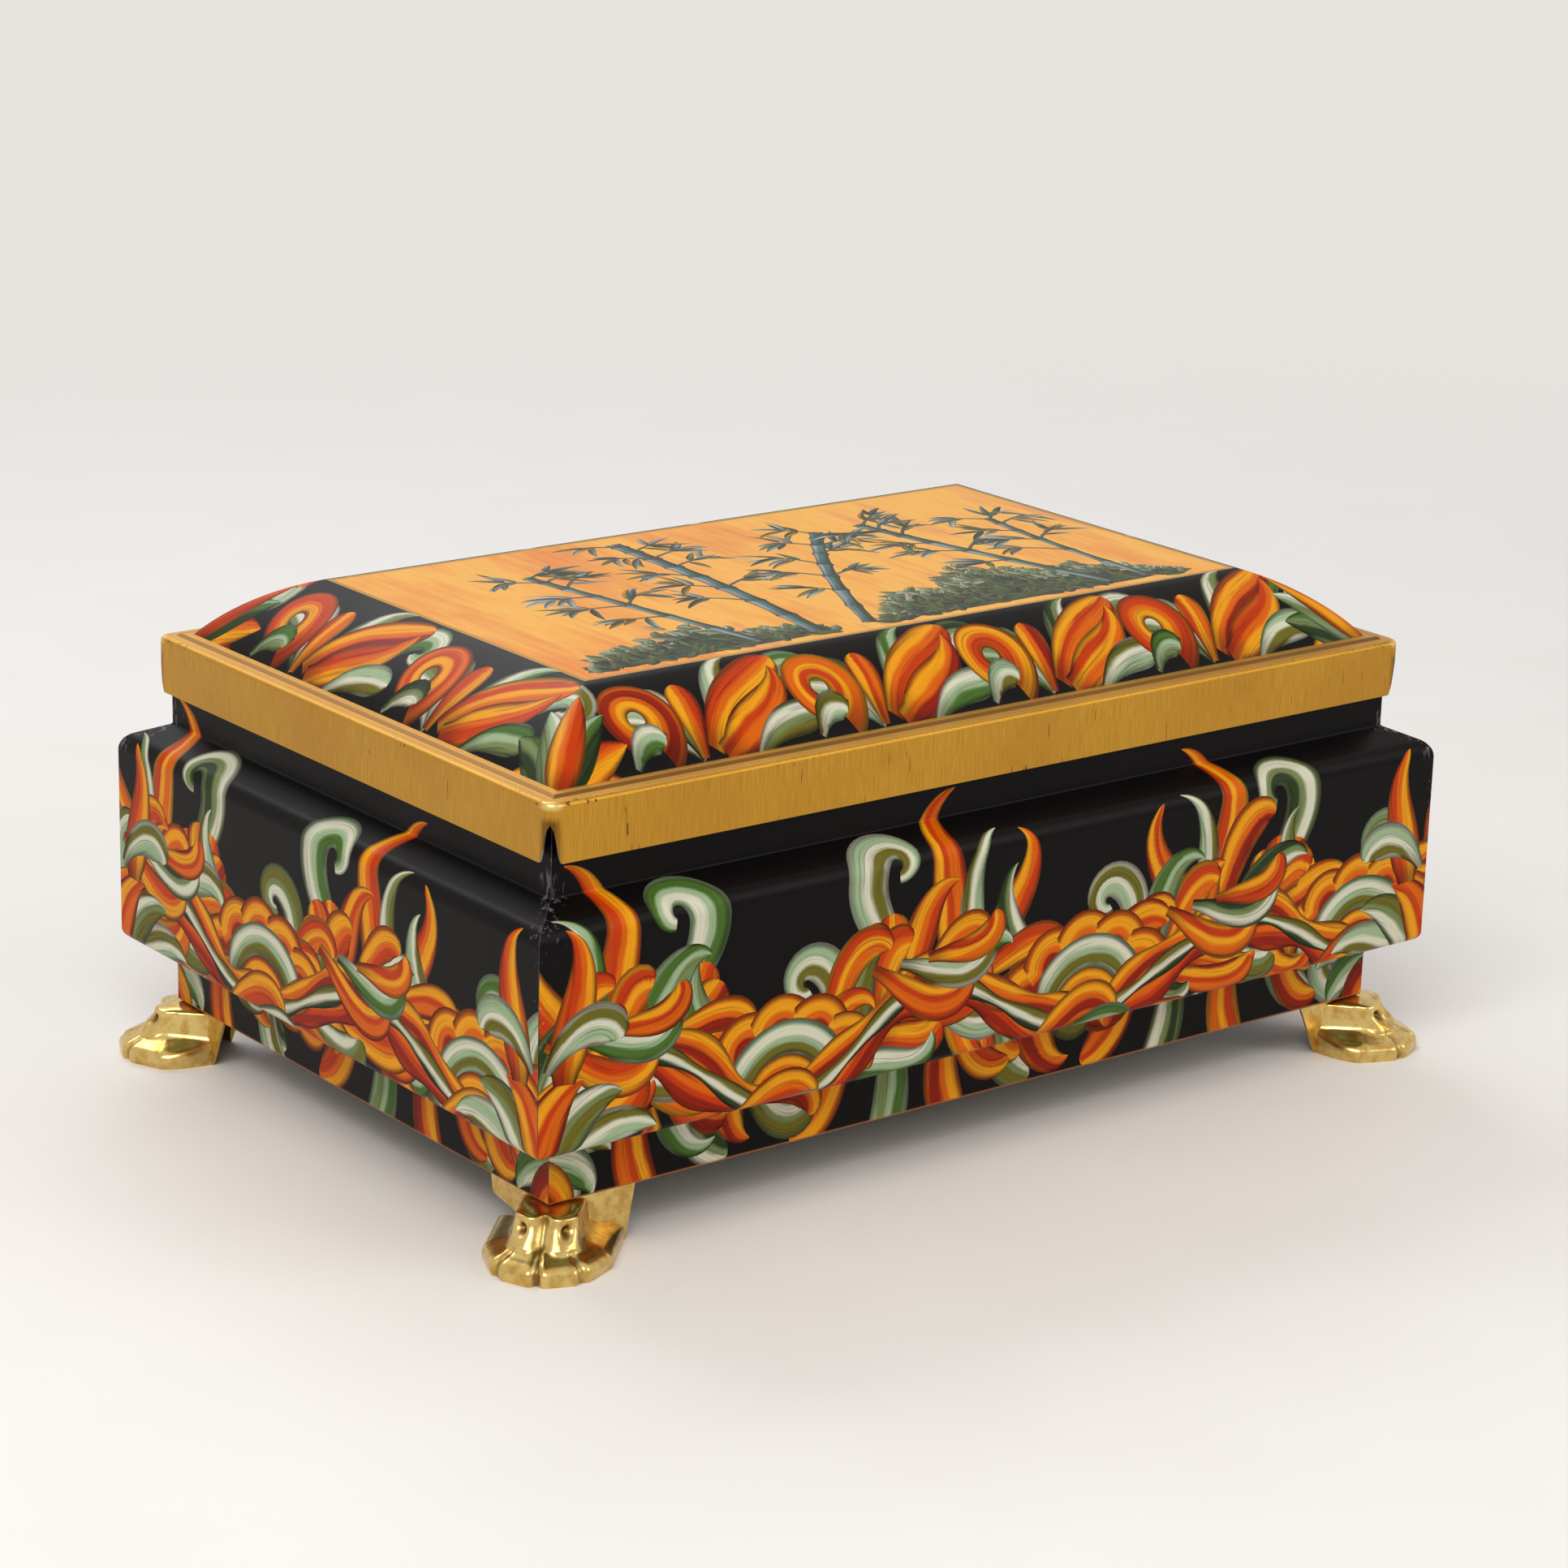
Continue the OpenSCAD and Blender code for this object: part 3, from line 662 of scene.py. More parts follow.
def makeBand(material, insideMaterial):
    t, plan, skirtRows = trunk, bandPlan(), band["skirtRows"]
    halfX, halfY = t["lidLength"] / 2, t["lidWidth"] / 2
    notch = np.array(band["notch"])
    lift = np.where(plan[:, 4] < notch[-1, 0], np.interp(plan[:, 4], notch[:, 0], notch[:, 1]), 0.0)
    ledge, edgeR, at, rise, wide = (t[k] for k in ("ledgeZ", "skirtEdgeR", "stepAt", "stepHeight", "ledgeWidth"))
    top = [(row[0], row[1]) for row in arcRows((edgeR, ledge - edgeR), edgeR, 180, 90, 6)]
    top += [(2.1, ledge + 0.02), (at - 0.15, ledge), (at + 0.02, ledge + 0.06), (at + 0.38, ledge + rise - 0.05),
            (at + 0.6, ledge + rise), (wide - 0.35, ledge + rise - 0.03), (wide, ledge + rise)]

    def ring(d, z):  # the plan at a depth behind the skirt's face
        x, y = plan[:, 0] - plan[:, 2] * d, plan[:, 1] - plan[:, 3] * d
        if d > t["skirtCornerR"]:  # past the corner's centre the corner is square
            x, y = np.clip(plan[:, 0], d - halfX, halfX - d), np.clip(plan[:, 1], d - halfY, halfY - d)
        return np.stack([x, y, np.zeros(len(plan)) + z], 1)

    low = t["skirtLowZ"] + lift
    heights = [low + (ledge - edgeR - low) * (i / skirtRows) for i in range(skirtRows)]
    rings = [ring(0.0, z) for z in heights] + [ring(d, z) for d, z in top]
    rings += [ring(min(d + t["sheet"], wide), z - t["sheet"]) for d, z in reversed(top)]
    rings += [ring(t["sheet"], z) for z in reversed(heights)]
    count, turns = len(plan), len(rings)
    faces, kind = [], []
    for k in range(turns):
        n = (k + 1) % turns
        for i in range(count):
            j = (i + 1) % count
            faces.append((k * count + i, k * count + j, n * count + j, n * count + i))
            kind.append(0 if k < skirtRows + len(top) - 1 else 1)
    made = makeObject("lid_band", np.concatenate(rings), faces, [material, insideMaterial], kind, smoothAngle=40)
    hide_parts("lid")
    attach(made, "lid_assembly")


# A pressed paw foot: the diagonal frame looks outward from the plinth's corner

paw = {
    "height": 11.7, "sheet": 0.6, "reach": 13.6, "halfWidth": 12.8, "ankleHalf": 6.0, "ankleReach": 6.4, "lean": 2.6,
    "toePitch": 45.0, "groove": 1.7, "grooveWidth": 4.6, "facet": 0.9,
    "knuckle": 1.15, "knuckleAt": 41.0, "knuckleWidth": 27.0, "valley": 0.8, "valleyWidth": 10.0,
    "dimple": 1.6, "dimpleAt": 38.0, "dimpleWidth": 9.5, "dimpleLevel": 0.72, "dimpleHeight": 0.09,
    "wingInset": 1.2, "wingTip": 2.2, "wingFoot": 12.1, "wingTop": 17.4, "wingSteps": 6, "roundBack": 0.42,
    "tabWidth": 5.0, "tabAt": 14.5, "tabFold": 5.0,
    "shape": [[0, 0.94], [0.05, 0.98], [0.12, 1], [0.18, 0.99], [0.24, 0.95], [0.29, 0.86], [0.335, 0.73],
              [0.375, 0.56], [0.42, 0.37], [0.465, 0.22], [0.52, 0.13], [0.6, 0.08], [0.75, 0.05], [0.9, 0.03],
              [0.95, -0.03], [0.98, -0.3], [1, -0.85]],  # share of the height, spread from ankle to toes
    "levels": 60, "around": 128, "sideSteps": 8,
}
rootTwo = math.sqrt(2)


def smooth(value, low, high):
    t = max(0.0, min(1.0, (value - low) / (high - low)))
    return t * t * (3 - 2 * t)


def pawRelief(degrees, share, spread):  # four toes with grooves between, and two dimpled knuckles above them
    p, half = paw, paw["toePitch"] / 2
    away = abs((degrees + 90) % p["toePitch"] - half)
    toes = max(0.0, min(1.0, 2.0 * spread - 0.2))
    groove = toes * math.exp(-((half - away) / p["grooveWidth"]) ** 2) * math.cos(math.radians(degrees))
    raised = smooth(share, 0.4, 0.5) * (1 - smooth(share, 0.92, 0.98))
    valley = p["valley"] * raised * math.exp(-(degrees / p["valleyWidth"]) ** 2)
    dimple = math.exp(-((abs(degrees) - p["dimpleAt"]) / p["dimpleWidth"]) ** 2
                      - ((share - p["dimpleLevel"]) / p["dimpleHeight"]) ** 2)
    knuckle = raised * math.exp(-((abs(degrees) - p["knuckleAt"]) / p["knuckleWidth"]) ** 4) - valley
    relief = p["knuckle"] * knuckle - p["facet"] * toes * (1 - (away / half) ** 2)
    return relief - p["groove"] * groove - p["dimple"] * dimple, groove + valley + 1.6 * dimple


def pawLevel(share, spread, depth, clipped):
    p, steps, wing = paw, paw["sideSteps"], paw["wingSteps"]
    tuck = p["wingInset"] * rootTwo
    if spread < 0:
        w = p["ankleHalf"] * (1 + spread)
        f = p["ankleReach"] + (p["ankleReach"] + tuck) * spread
    else:
        w = p["ankleHalf"] + (p["halfWidth"] - p["ankleHalf"]) * spread
        f = p["ankleReach"] + (p["reach"] - p["ankleReach"]) * spread
    w, f = max(w - depth, 0.3), f - depth - p["lean"] * smooth(share, 0.42, 0.9)
    inner = w * (1 - (0.0 if clipped else p["roundBack"] * max(spread, 0.0)))
    front, inset = f - w, p["wingInset"] + depth
    wallU = -inner - inset * rootTwo
    side = [(wallU + (front - wallU) * k / steps, -inner - (w - inner) * math.sin(math.pi * k / steps / 2))
            for k in range(steps)]
    row, hollowness = [], []
    for i in range(p["around"] + 1):
        degrees = -90 + 180 * i / p["around"]
        a = math.radians(degrees)
        relief, hollow = pawRelief(degrees, share, spread)
        r = max(w + relief * min(1.0, w / 4), 0.2)
        row.append((front + r * math.cos(a), r * math.sin(a)))
        hollowness.append(hollow)
    line = side + row + [(u, -v) for u, v in reversed(side)]
    corner = [((v - u) / rootTwo, -(u + v) / rootTwo) for u, v in line]
    tip, worn = p["wingFoot"] + (p["wingTop"] - p["wingFoot"]) * share, 1.0
    if clipped:
        tip = (2 * p["halfWidth"] + tuck) / rootTwo + p["wingTip"] * share
        worn = 0.03 + 0.97 * smooth(share, 0.46, 0.66)
    start, end = (inset, corner[0][1] + (tip - corner[0][1]) * worn), (tip, inset)

    def between(a, b):
        return [(a[0] + (b[0] - a[0]) * i / wing, a[1] + (b[1] - a[1]) * i / wing) for i in range(wing)]

    plain = [0.0] * (wing + steps)
    return between(start, corner[0]) + corner + between(end, corner[-1])[::-1], plain + hollowness + plain


def footTab():  # goes up through the wall's flange and the base plate, and is folded flat
    p = paw
    y, low, top, thick = p["wingInset"] + 0.05, p["height"] - 1.0, p["height"] + 2 * trunk["sheet"], p["sheet"]
    outline = [(y, low), (y + thick - 0.1, low), (y + thick - 0.1, top), (y + p["tabFold"], top),
               (y + p["tabFold"], top + thick), (y + 0.5, top + thick), (y + 0.15, top + thick - 0.15),
               (y, top + thick - 0.5)]
    n = len(outline)
    points = [(p["tabAt"] + side * p["tabWidth"] / 2, y, z) for side in (-1, 1) for y, z in outline]
    faces = [tuple(range(n)), tuple(range(2 * n - 1, n - 1, -1))]
    return points, faces + [((i + 1) % n, i, n + i, n + (i + 1) % n) for i in range(n)]


def makeFoot(name, sx, sy, material):
    p, shape = paw, np.array(paw["shape"])
    clipped = sx < 0 and sy < 0  # the near foot's left wing is worn short
    heights = np.linspace(0, 1, p["levels"] + 1)
    spreads = np.interp(heights, shape[:, 0], shape[:, 1])
    for _ in range(2):  # soften the corners of the table
        spreads[1:-1] = (spreads[:-2] + 2 * spreads[1:-1] + spreads[2:]) / 4
    points, hollows, across = [], [], 0
    for depth in (0.0, p["sheet"]):
        for share, spread in zip(heights, spreads):
            level, hollowness = pawLevel(share, spread, depth, clipped)
            hollows += hollowness
            across = len(level)
            points += [(a, b, share * p["height"]) for a, b in level]
    levels = len(heights)
    layer, lastRow = levels * across, (levels - 1) * across
    faces = []
    for depth in (0, 1):
        for k in range(levels - 1):
            for i in range(across - 1):
                a = depth * layer + k * across + i
                quad = (a, a + 1, a + 1 + across, a + across)
                faces.append(quad if depth == 0 else quad[::-1])
    for i in range(across - 1):
        faces.append((i + 1, i, layer + i, layer + i + 1))
        a = lastRow + i
        faces.append((a, a + 1, layer + a + 1, layer + a))
    for a in range(0, lastRow, across):
        faces.append((a, a + across, layer + a + across, layer + a))
        b = a + across - 1
        faces.append((b + across, b, layer + b, layer + b + across))
    tab, tabFaces = footTab()
    for swap in (False, True):
        start = len(points)
        points += [(y, x, z) for x, y, z in tab] if swap else tab
        faces += [tuple(start + i for i in (f[::-1] if swap else f)) for f in tabFaces]
    points = np.array(points)
    points[:, 0] = -sx * (points[:, 0] - (trunk["lidLength"] / 2 - trunk["plinthAt"]))
    points[:, 1] = -sy * (points[:, 1] - (trunk["lidWidth"] / 2 - trunk["plinthAt"]))
    if sx * sy < 0:
        faces = [f[::-1] for f in faces]
    made = makeObject(name, points, faces, [material], smoothAngle=50)
    hollows += [0.0] * (len(points) - len(hollows))
    made.data.attributes.new("hollow", "FLOAT", "POINT").data.foreach_set("value", hollows)
    return made


# Materials

lacquer = {
    "darkHair": lin(92, 60, 30), "root": lin(84, 58, 26), "side": lin(58, 44, 18), "frameLine": lin(180, 134, 52),
    "sky": [(0.28, lin(216, 112, 44)), (0.42, lin(228, 146, 58)), (0.54, lin(236, 174, 70)),
            (0.66, lin(222, 138, 74)), (0.8, lin(238, 188, 98))],
    "scratch": lin(172, 166, 158), "scuff": lin(140, 134, 138), "copper": lin(170, 104, 58), "roughness": 0.3,
    "wearWidth": 5.0, "foldWearWidth": 2.2, "scuffWidth": 9.0, "hairs": 2.2,
}


def strokeColours(g):  # three bands of ink across each stroke, with hairs, a dark root and dark sides
    u, v, _ = g.axes(g.node("UVMap", {"uv_map": "strokeUV"}).out())
    w, seed, _ = g.axes(g.node("UVMap", {"uv_map": "strokeSize"}).out())
    a, b, c = (g.node("Attribute", {"attribute_name": "ink" + k}).out("Color") for k in "ABC")
    painted = w.ramp(0.0, 0.02)
    slow = g.node("CombineXYZ", None, u * 0.07, v * 0.6, seed * 40).out()
    wobble = (g.noise(slow, 1.0, 2.0) - 0.5) * 1.1
    folds = 1.0 + w.ramp(1.6, 3.6) * 1.1  # wide strokes show more bands
    place = (v * folds + wobble + (seed - 0.5) * 0.5 + 1.0).math("PINGPONG", 2.0) - 1.0
    colour = g.mix(place.ramp(-0.62, -0.12), a, b)
    colour = g.mix(place.ramp(0.16, 0.66), colour, c)
    hairs = g.node("CombineXYZ", None, u * 0.05, v * w * lacquer["hairs"], seed * 90).out()
    streak = g.noise(hairs, 1.0, 4.0, 0.62)
    colour = g.mix(streak.ramp(0.54, 0.78) * painted * 0.5, colour, inks["white"], "SOFT_LIGHT")
    colour = g.mix(streak.ramp(0.5, 0.28) * painted * 0.6, colour, lacquer["darkHair"], "MULTIPLY")
    root = u.ramp(7.5, 0.0) * painted
    colour = g.mix(root * 0.62, colour, lacquer["root"], "MULTIPLY")
    sides = (abs(v) + wobble * 0.2).ramp(0.58, 1.0) * painted
    colour = g.mix(sides * 0.7, colour, lacquer["side"], "MULTIPLY")
    return g.mix(sides * 0.3, colour, inks["black"]), painted


def fromSides(x, y):  # distances in from the lid's outline
    return trunk["lidLength"] / 2 - abs(x), trunk["lidWidth"] / 2 - abs(y)


def printMaterial(name, picture=False):
    g = Graph(name)
    colour, painted = strokeColours(g)
    where = g.place()
    x, y, z = g.axes(where)
    fromEnd, fromFront = fromSides(x, y)
    offCorner = abs(fromEnd - fromFront)  # 0 along the corners
    if picture:
        top = trunk["crownZ"]
        wear = offCorner.ramp(lacquer["foldWearWidth"], 0.0) * z.ramp(top - 0.2, top - 0.8)
        marks = g.node("SeparateColor", None, g.node("Attribute", {"attribute_name": "zoneMap"}).out("Color"))
        drift = g.noise(where, 1.0, 4.0, 0.6, stretch=(0.05, 0.014, 0.05))
        streaks = g.noise(where, 1.0, 3.0, 0.6, stretch=(0.6, 0.05, 0.1))
        sky = g.node("ValToRGB", {"stops": lacquer["sky"]}, drift * 0.75 + streaks * 0.25).out()
        colour = g.mix(marks.number(2) * (1.0 - painted), colour, sky)
        colour = g.mix(marks.number(1), colour, lacquer["frameLine"])
    else:
        wear = offCorner.ramp(lacquer["wearWidth"], 0.0)
    flecks = g.noise(where, 1.6, 4.0, 0.7, stretch=(1.0, 1.0, 0.45))
    scratch = (flecks * 0.8 + wear * 0.2).ramp(0.7, 0.73)
    colour = g.mix(scratch * 0.8, colour, lacquer["scratch"])
    if not picture:  # rubbed bare where the neck and the shoulder meet the corners, and coppery at the lowest edge
        rub = g.noise(where, 0.8, 3.0, 0.6, stretch=(1.0, 1.0, 0.3))
        corners = offCorner.ramp(lacquer["scuffWidth"], 0.5) * z.ramp(60.0, 70.0) * z.ramp(84.0, 78.0)
        scuff = (rub + corners * 0.2).ramp(0.72, 0.86) * corners
        colour = g.mix(scuff * 0.45, colour, lacquer["scuff"])
        low = trunk["baseZ"]
        copper = z.ramp(low + 0.75, low + 0.35) * z.ramp(low - 0.4, low - 0.1)
        colour = g.mix(copper * 0.75, colour, lacquer["copper"])
    rough = lacquer["roughness"] + g.noise(where, 0.06, 2.0) * 0.1 + scratch * 0.2
    bump = g.bump(g.noise(where, 0.2, 2.0), 0.3, 0.00008)
    return g.finish(Base_Color=colour, Roughness=rough, Normal=bump, IOR=1.45, Specular_IOR_Level=0.1)


# the step line and fold colours are painted shade, and tip is the colour of a painted highlight
gold = {
    "base": lin(178, 128, 36), "bright": lin(204, 154, 56), "broad": lin(176, 122, 40), "stepShade": lin(96, 58, 22),
    "mark": lin(64, 36, 18), "nick": lin(70, 42, 20), "fold": lin(88, 48, 16), "tip": lin(252, 226, 150),
    "metallic": 0.85, "roughness": 0.36,
}


def goldMaterial(name):
    g = Graph(name)
    where = g.place()
    x, y, z = g.axes(where)
    fromEnd, fromFront = fromSides(x, y)
    depth, fromCorner = fromEnd.math("MINIMUM", fromFront), fromEnd + fromFront
    top, step = trunk["ledgeZ"], trunk["stepAt"]
    brush = g.noise(where, 1.0, 3.0, 0.6, stretch=(5.0, 5.0, 0.16))
    broad = g.noise(where, 0.035, 2.0)
    colour = g.mix(brush.ramp(0.3, 0.7), gold["base"], gold["bright"])
    colour = g.mix(broad.ramp(0.35, 0.7) * 0.4, colour, gold["broad"])
    # painted shade: a dark brown line along the step between the ledge and the slope
    line = depth.ramp(step - 0.35, step - 0.05) * depth.ramp(step + 1.0, step + 0.7)
    colour = g.mix(line * 0.72, colour, gold["stepShade"])
    tick = g.noise(where, 1.0, 4.0, 0.75, stretch=(1.4, 1.4, 0.35))
    edge = z.ramp(top - 1.6, top - 0.7) * depth.ramp(1.6, 0.9)
    marks = (tick + edge * (0.08 + fromCorner.ramp(26.0, 2.0) * 0.07)).ramp(0.72, 0.745)
    colour = g.mix(marks * 0.85, colour, gold["mark"])
    nick = g.noise(where, 1.0, 1.0, 0.5, stretch=(1.5, 1.5, 0.12)).ramp(0.745, 0.76)
    colour = g.mix(nick * z.ramp(top - 0.6, top - 1.4) * 0.7, colour, gold["nick"])
    # painted shade: the fold over each corner's notch is darkened to brown, blotched by the tick noise
    fold = fromCorner.ramp(3.6, 1.4) * z.ramp(top - 2.2, top - 4.2)
    colour = g.mix(fold * (0.45 + tick * 0.7), colour, gold["fold"])
    # painted highlight: a pale glint on the top of each corner of the band, which is also less rough there
    tip = fromCorner.ramp(4.2, 1.2) * z.ramp(top - 1.8, top - 0.7)
    colour = g.mix(tip * 0.7, colour, gold["tip"])
    rough = gold["roughness"] + brush * 0.14 + marks * 0.2 - tip * 0.16
    return g.finish(Base_Color=colour, Metallic=gold["metallic"], Roughness=rough,
                    Normal=g.bump(brush, 0.25, 0.00006))


brass = {"bright": lin(222, 194, 122), "stain": lin(194, 152, 76), "hollowDark": lin(88, 62, 24), "roughness": 0.16}


def brassMaterial(name):
    g = Graph(name)
    where = g.place()
    stain = g.noise(where, 0.35, 4.0, 0.6)
    colour = g.mix(stain.ramp(0.35, 0.72), brass["bright"], brass["stain"])
    # darker and rougher in the grooves, the valley between the knuckles and the dimples, mottled by the stain noise
    hollow = g.node("Attribute", {"attribute_name": "hollow"}).number("Fac")
    hollowDark = (hollow + stain * 0.5 - 0.25).ramp(0.25, 1.1)
    colour = g.mix(hollowDark * 0.85, colour, brass["hollowDark"])
    rough = brass["roughness"] + stain * 0.12 + hollowDark * 0.2
    bump = g.bump(g.noise(where, 0.5, 2.0) + g.noise(where, 5.0, 2.0) * 0.06, 0.25, 0.0001)
    return g.finish(Base_Color=colour, Metallic=1.0, Roughness=rough, Normal=bump)


def tinMaterial(name, tone=(168, 166, 160), rough=0.34):
    g = Graph(name)
    where = g.place()
    fine = g.noise(where, 1.0, 3.0, stretch=(0.6, 3.0, 3.0))
    colour = g.mix(g.noise(where, 0.12, 3.0).ramp(0.3, 0.7), lin(*tone), lin(*(c * 0.9 for c in tone)))
    return g.finish(Base_Color=colour, Metallic=1.0, Roughness=rough + fine * 0.12, Normal=g.bump(fine, 0.2, 0.00005))


# Rivets of the hinge leaves: one domed rivet, shaped from a sphere and set on every spot

rivet = {"headRadius": 1.1, "headHeight": 0.4, "shankRadius": 0.6, "grip": 0.9, "fromMiddle": 62.0, "apart": 8.0,
         "lidY": 72.1, "lidZ": 86.1662, "bodyY": 70.3, "bodyZ": 75.7662}


def rivetTree(finish):
    tree = bpy.data.node_groups.new("hingeRivets", "GeometryNodeTree")
    tree.interface.new_socket("Spots", in_out="INPUT", socket_type="NodeSocketGeometry")
    named = {}
    for name in ("headRadius", "headHeight", "shankRadius", "grip"):
        named[name] = tree.interface.new_socket(name, in_out="INPUT", socket_type="NodeSocketFloat").identifier
    tree.interface.new_socket("Rivets", in_out="OUTPUT", socket_type="NodeSocketGeometry")
    g = Graph("hingeRivets", tree)
    given = g.node("NodeGroupInput")
    headR, headH, shankR, grip = (given.number(k) for k in ("headRadius", "headHeight", "shankRadius", "grip"))
    ball = g.node("GeometryNodeMeshUVSphere", None, Segments=28, Rings=12, Radius=1.0).out("Mesh")
    x, y, z = g.axes(g.node("GeometryNodeInputPosition").out())
    around = (x * x + y * y).math("SQRT").math("MAXIMUM", 1e-4)
    high = abs(z).math("MULTIPLY_ADD", 2.0, -1.0)  # 1 at a pole, 0 where a head meets the shank
    isHead = high.math("GREATER_THAN", -0.1)
    rise = high.math("MAXIMUM", 0.0)
    dome = (1.0 - rise * rise).math("MAXIMUM", 0.0).math("SQRT") * headR
    radius = isHead * dome + (1.0 - isHead) * shankR
    upper = z.math("GREATER_THAN", 0.0)
    level = upper * grip + (upper * 2.0 - 1.0) * rise * headH
    level = level + (0.5 - upper) * abs(z).math("LESS_THAN", 0.05) * grip
    placed = g.node("CombineXYZ", None, x / around * radius, y / around * radius, level).out()
    shaped = g.node("GeometryNodeSetPosition", None, Geometry=ball, Position=placed).out()
    onSpots = g.node("GeometryNodeInstanceOnPoints", None, Points=given.out("Spots"), Instance=shaped,
                     Rotation=(-math.pi / 2, 0.0, 0.0)).out()
    plain = g.node("GeometryNodeRealizeInstances", None, Geometry=onSpots).out()
    dressed = g.node("GeometryNodeSetMaterial", None, Geometry=plain, Material=finish).out()
    g.node("NodeGroupOutput", None, dressed)
    return tree, named


def makeRivets(name, node, body, y, z, tree, named):
    r = rivet
    spots = [(sx * r["fromMiddle"] + side * r["apart"], y, z) for sx in (-1, 1) for side in (-1, 1)]
    mesh = bpy.data.meshes.new(name + "_spots")
    mesh.from_pydata([tuple(c * mm for c in p) for p in spots], [], [])
    holder = bpy.data.objects.new(name + "_spots", mesh)
    bpy.context.scene.collection.objects.link(holder)
    modifier = holder.modifiers.new("rivets", "NODES")
    modifier.node_group = tree
    for key, identifier in named.items():
        modifier[identifier] = r[key] * mm
    graph = bpy.context.evaluated_depsgraph_get()
    made = bpy.data.meshes.new_from_object(holder.evaluated_get(graph), depsgraph=graph)
    made.shade_smooth()
    made.set_sharp_from_angle(angle=math.radians(40))
    holder.modifiers.remove(modifier)
    bpy.data.objects.remove(holder)
    piece = bpy.data.objects.new(name, made)
    bpy.context.scene.collection.objects.link(piece)
    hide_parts(node)
    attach(piece, body)


# Camera, floor, backdrop and lights

view = {"place": (-0.54875, -0.70125, 0.32997), "yaw": 38.067, "pitch": 16.836, "roll": 1.55,
        "focal": 5302.35, "frame": 1932.0, "sensor": 36.0}


def makeCamera():
    yaw, pitch, roll = (math.radians(view[k]) for k in ("yaw", "pitch", "roll"))
    forward = Vector((math.sin(yaw) * math.cos(pitch), math.cos(yaw) * math.cos(pitch), -math.sin(pitch)))
    right = Vector((math.cos(yaw), -math.sin(yaw), 0.0))
    up = right.cross(forward)
    turned = math.cos(roll) * right + math.sin(roll) * up
    lifted = -math.sin(roll) * right + math.cos(roll) * up
    data = bpy.data.cameras.new("camera")
    data.sensor_width, data.sensor_fit = view["sensor"], "HORIZONTAL"
    data.lens = view["focal"] / view["frame"] * view["sensor"]
    data.clip_start, data.clip_end = 0.01, 50.0
    camera = bpy.data.objects.new("camera", data)
    turn = Matrix((turned, lifted, -forward)).transposed().to_4x4()
    camera.matrix_world = Matrix.Translation(view["place"]) @ turn
    bpy.context.scene.collection.objects.link(camera)
    bpy.context.scene.camera = camera


lights = [  # place, target, size, watts, colour
    ((-0.75, -0.55, 1.05), (0.0, 0.0, 0.05), (0.9, 0.6), 9.8, (1.0, 0.98, 0.95)),
    ((0.65, -0.95, 0.75), (0.0, 0.0, 0.05), (0.8, 0.6), 3.5, (1.0, 0.97, 0.94)),
    ((0.1, 0.9, 0.95), (0.0, 0.0, 0.06), (1.0, 0.5), 5.0, (0.96, 0.98, 1.0)),
]
stage = {"reach": 6, "floor": (lin(232, 228, 222), lin(238, 235, 230)), "roughness": 0.6,
         "backdrop": lin(230, 227, 223), "air": (0.93, 0.95, 1.0), "airStrength": 0.5}


def makeStage():
    mesh, far = bpy.data.meshes.new("floor"), stage["reach"]
    mesh.from_pydata([(-far, -far, 0), (far, -far, 0), (far, far, 0), (-far, far, 0)], [], [(0, 1, 2, 3)])
    g = Graph("paleFloor")
    where = g.place()
    colour = g.mix(g.noise(where, 0.02, 2.0), *stage["floor"])
    lit = g.node("BsdfPrincipled", None, Base_Color=colour, Roughness=stage["roughness"]).out()
    away = g.node("VectorMath", {"operation": "LENGTH"}, where).number("Value")
    backdrop = g.node("Emission", None, Color=stage["backdrop"], Strength=1.0).out()
    faded = g.node("MixShader", None, g.seen() * away.ramp(260.0, 900.0), lit, backdrop).out()
    g.node("OutputMaterial", None, faded)
    mesh.materials.append(g.material)
    floor = bpy.data.objects.new("floor", mesh)
    bpy.context.scene.collection.objects.link(floor)
    floor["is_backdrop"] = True
    world = bpy.data.worlds.new("studio")
    bpy.context.scene.world = world
    world.use_nodes = True
    g = Graph("studio", world.node_tree)
    air = g.node("Background", None, Color=stage["air"], Strength=stage["airStrength"]).out()
    shown = g.node("Background", None, Color=stage["backdrop"], Strength=1.0).out()
    g.node("OutputWorld", None, g.node("MixShader", None, g.seen(), air, shown).out())
    for number, (place, target, size, watts, colour) in enumerate(lights):
        data = bpy.data.lights.new("lamp%d" % number, "AREA")
        data.shape, data.size, data.size_y = "RECTANGLE", size[0], size[1]
        data.energy, data.color = watts, colour
        lamp = bpy.data.objects.new("lamp%d" % number, data)
        aim = Vector(target) - Vector(place)
        lamp.matrix_world = Matrix.Translation(place) @ aim.to_track_quat("-Z", "Y").to_matrix().to_4x4()
        bpy.context.scene.collection.objects.link(lamp)


# The printed design: leaves that peel off a wavy stem, with crooks, frilled shells and licks of flame

def ringLine(centre, radius, start, turns, shrink):  # winds in from its radius to a share of it
    total = turns * 360
    line, angle = [], 0.0
    while angle < total:
        r = radius * (1 - (1 - shrink) * (angle / total) ** 0.85)
        a = math.radians(start + angle)
        line.append((centre[0] + r * math.cos(a), centre[1] + r * math.sin(a)))
        angle += math.degrees(1.0 / max(r, 1.5))
    return np.array(line)


def comma(painter, start, heading, length, width, bend, ink):
    painter.grow(start, (heading, length, bend, bend * 1.3), (headed, width, 0.25), ink)


def lick(painter, start, heading, length, width, sway, ink):
    painter.grow(start, (heading, length, sway, -2.3 * sway), (tapered, width, 0.3, 0.55), ink)


def crook(painter, start, heading, length, width, hand, ink):  # a leaf whose end rolls up
    spine = curl(start, heading, length, hand * 46, -hand * 345, 1.1)
    t = shares(len(spine))
    painter.stroke(spine, width * (0.26 + 0.74 * np.sin(np.pi * t ** 1.25)), ink)


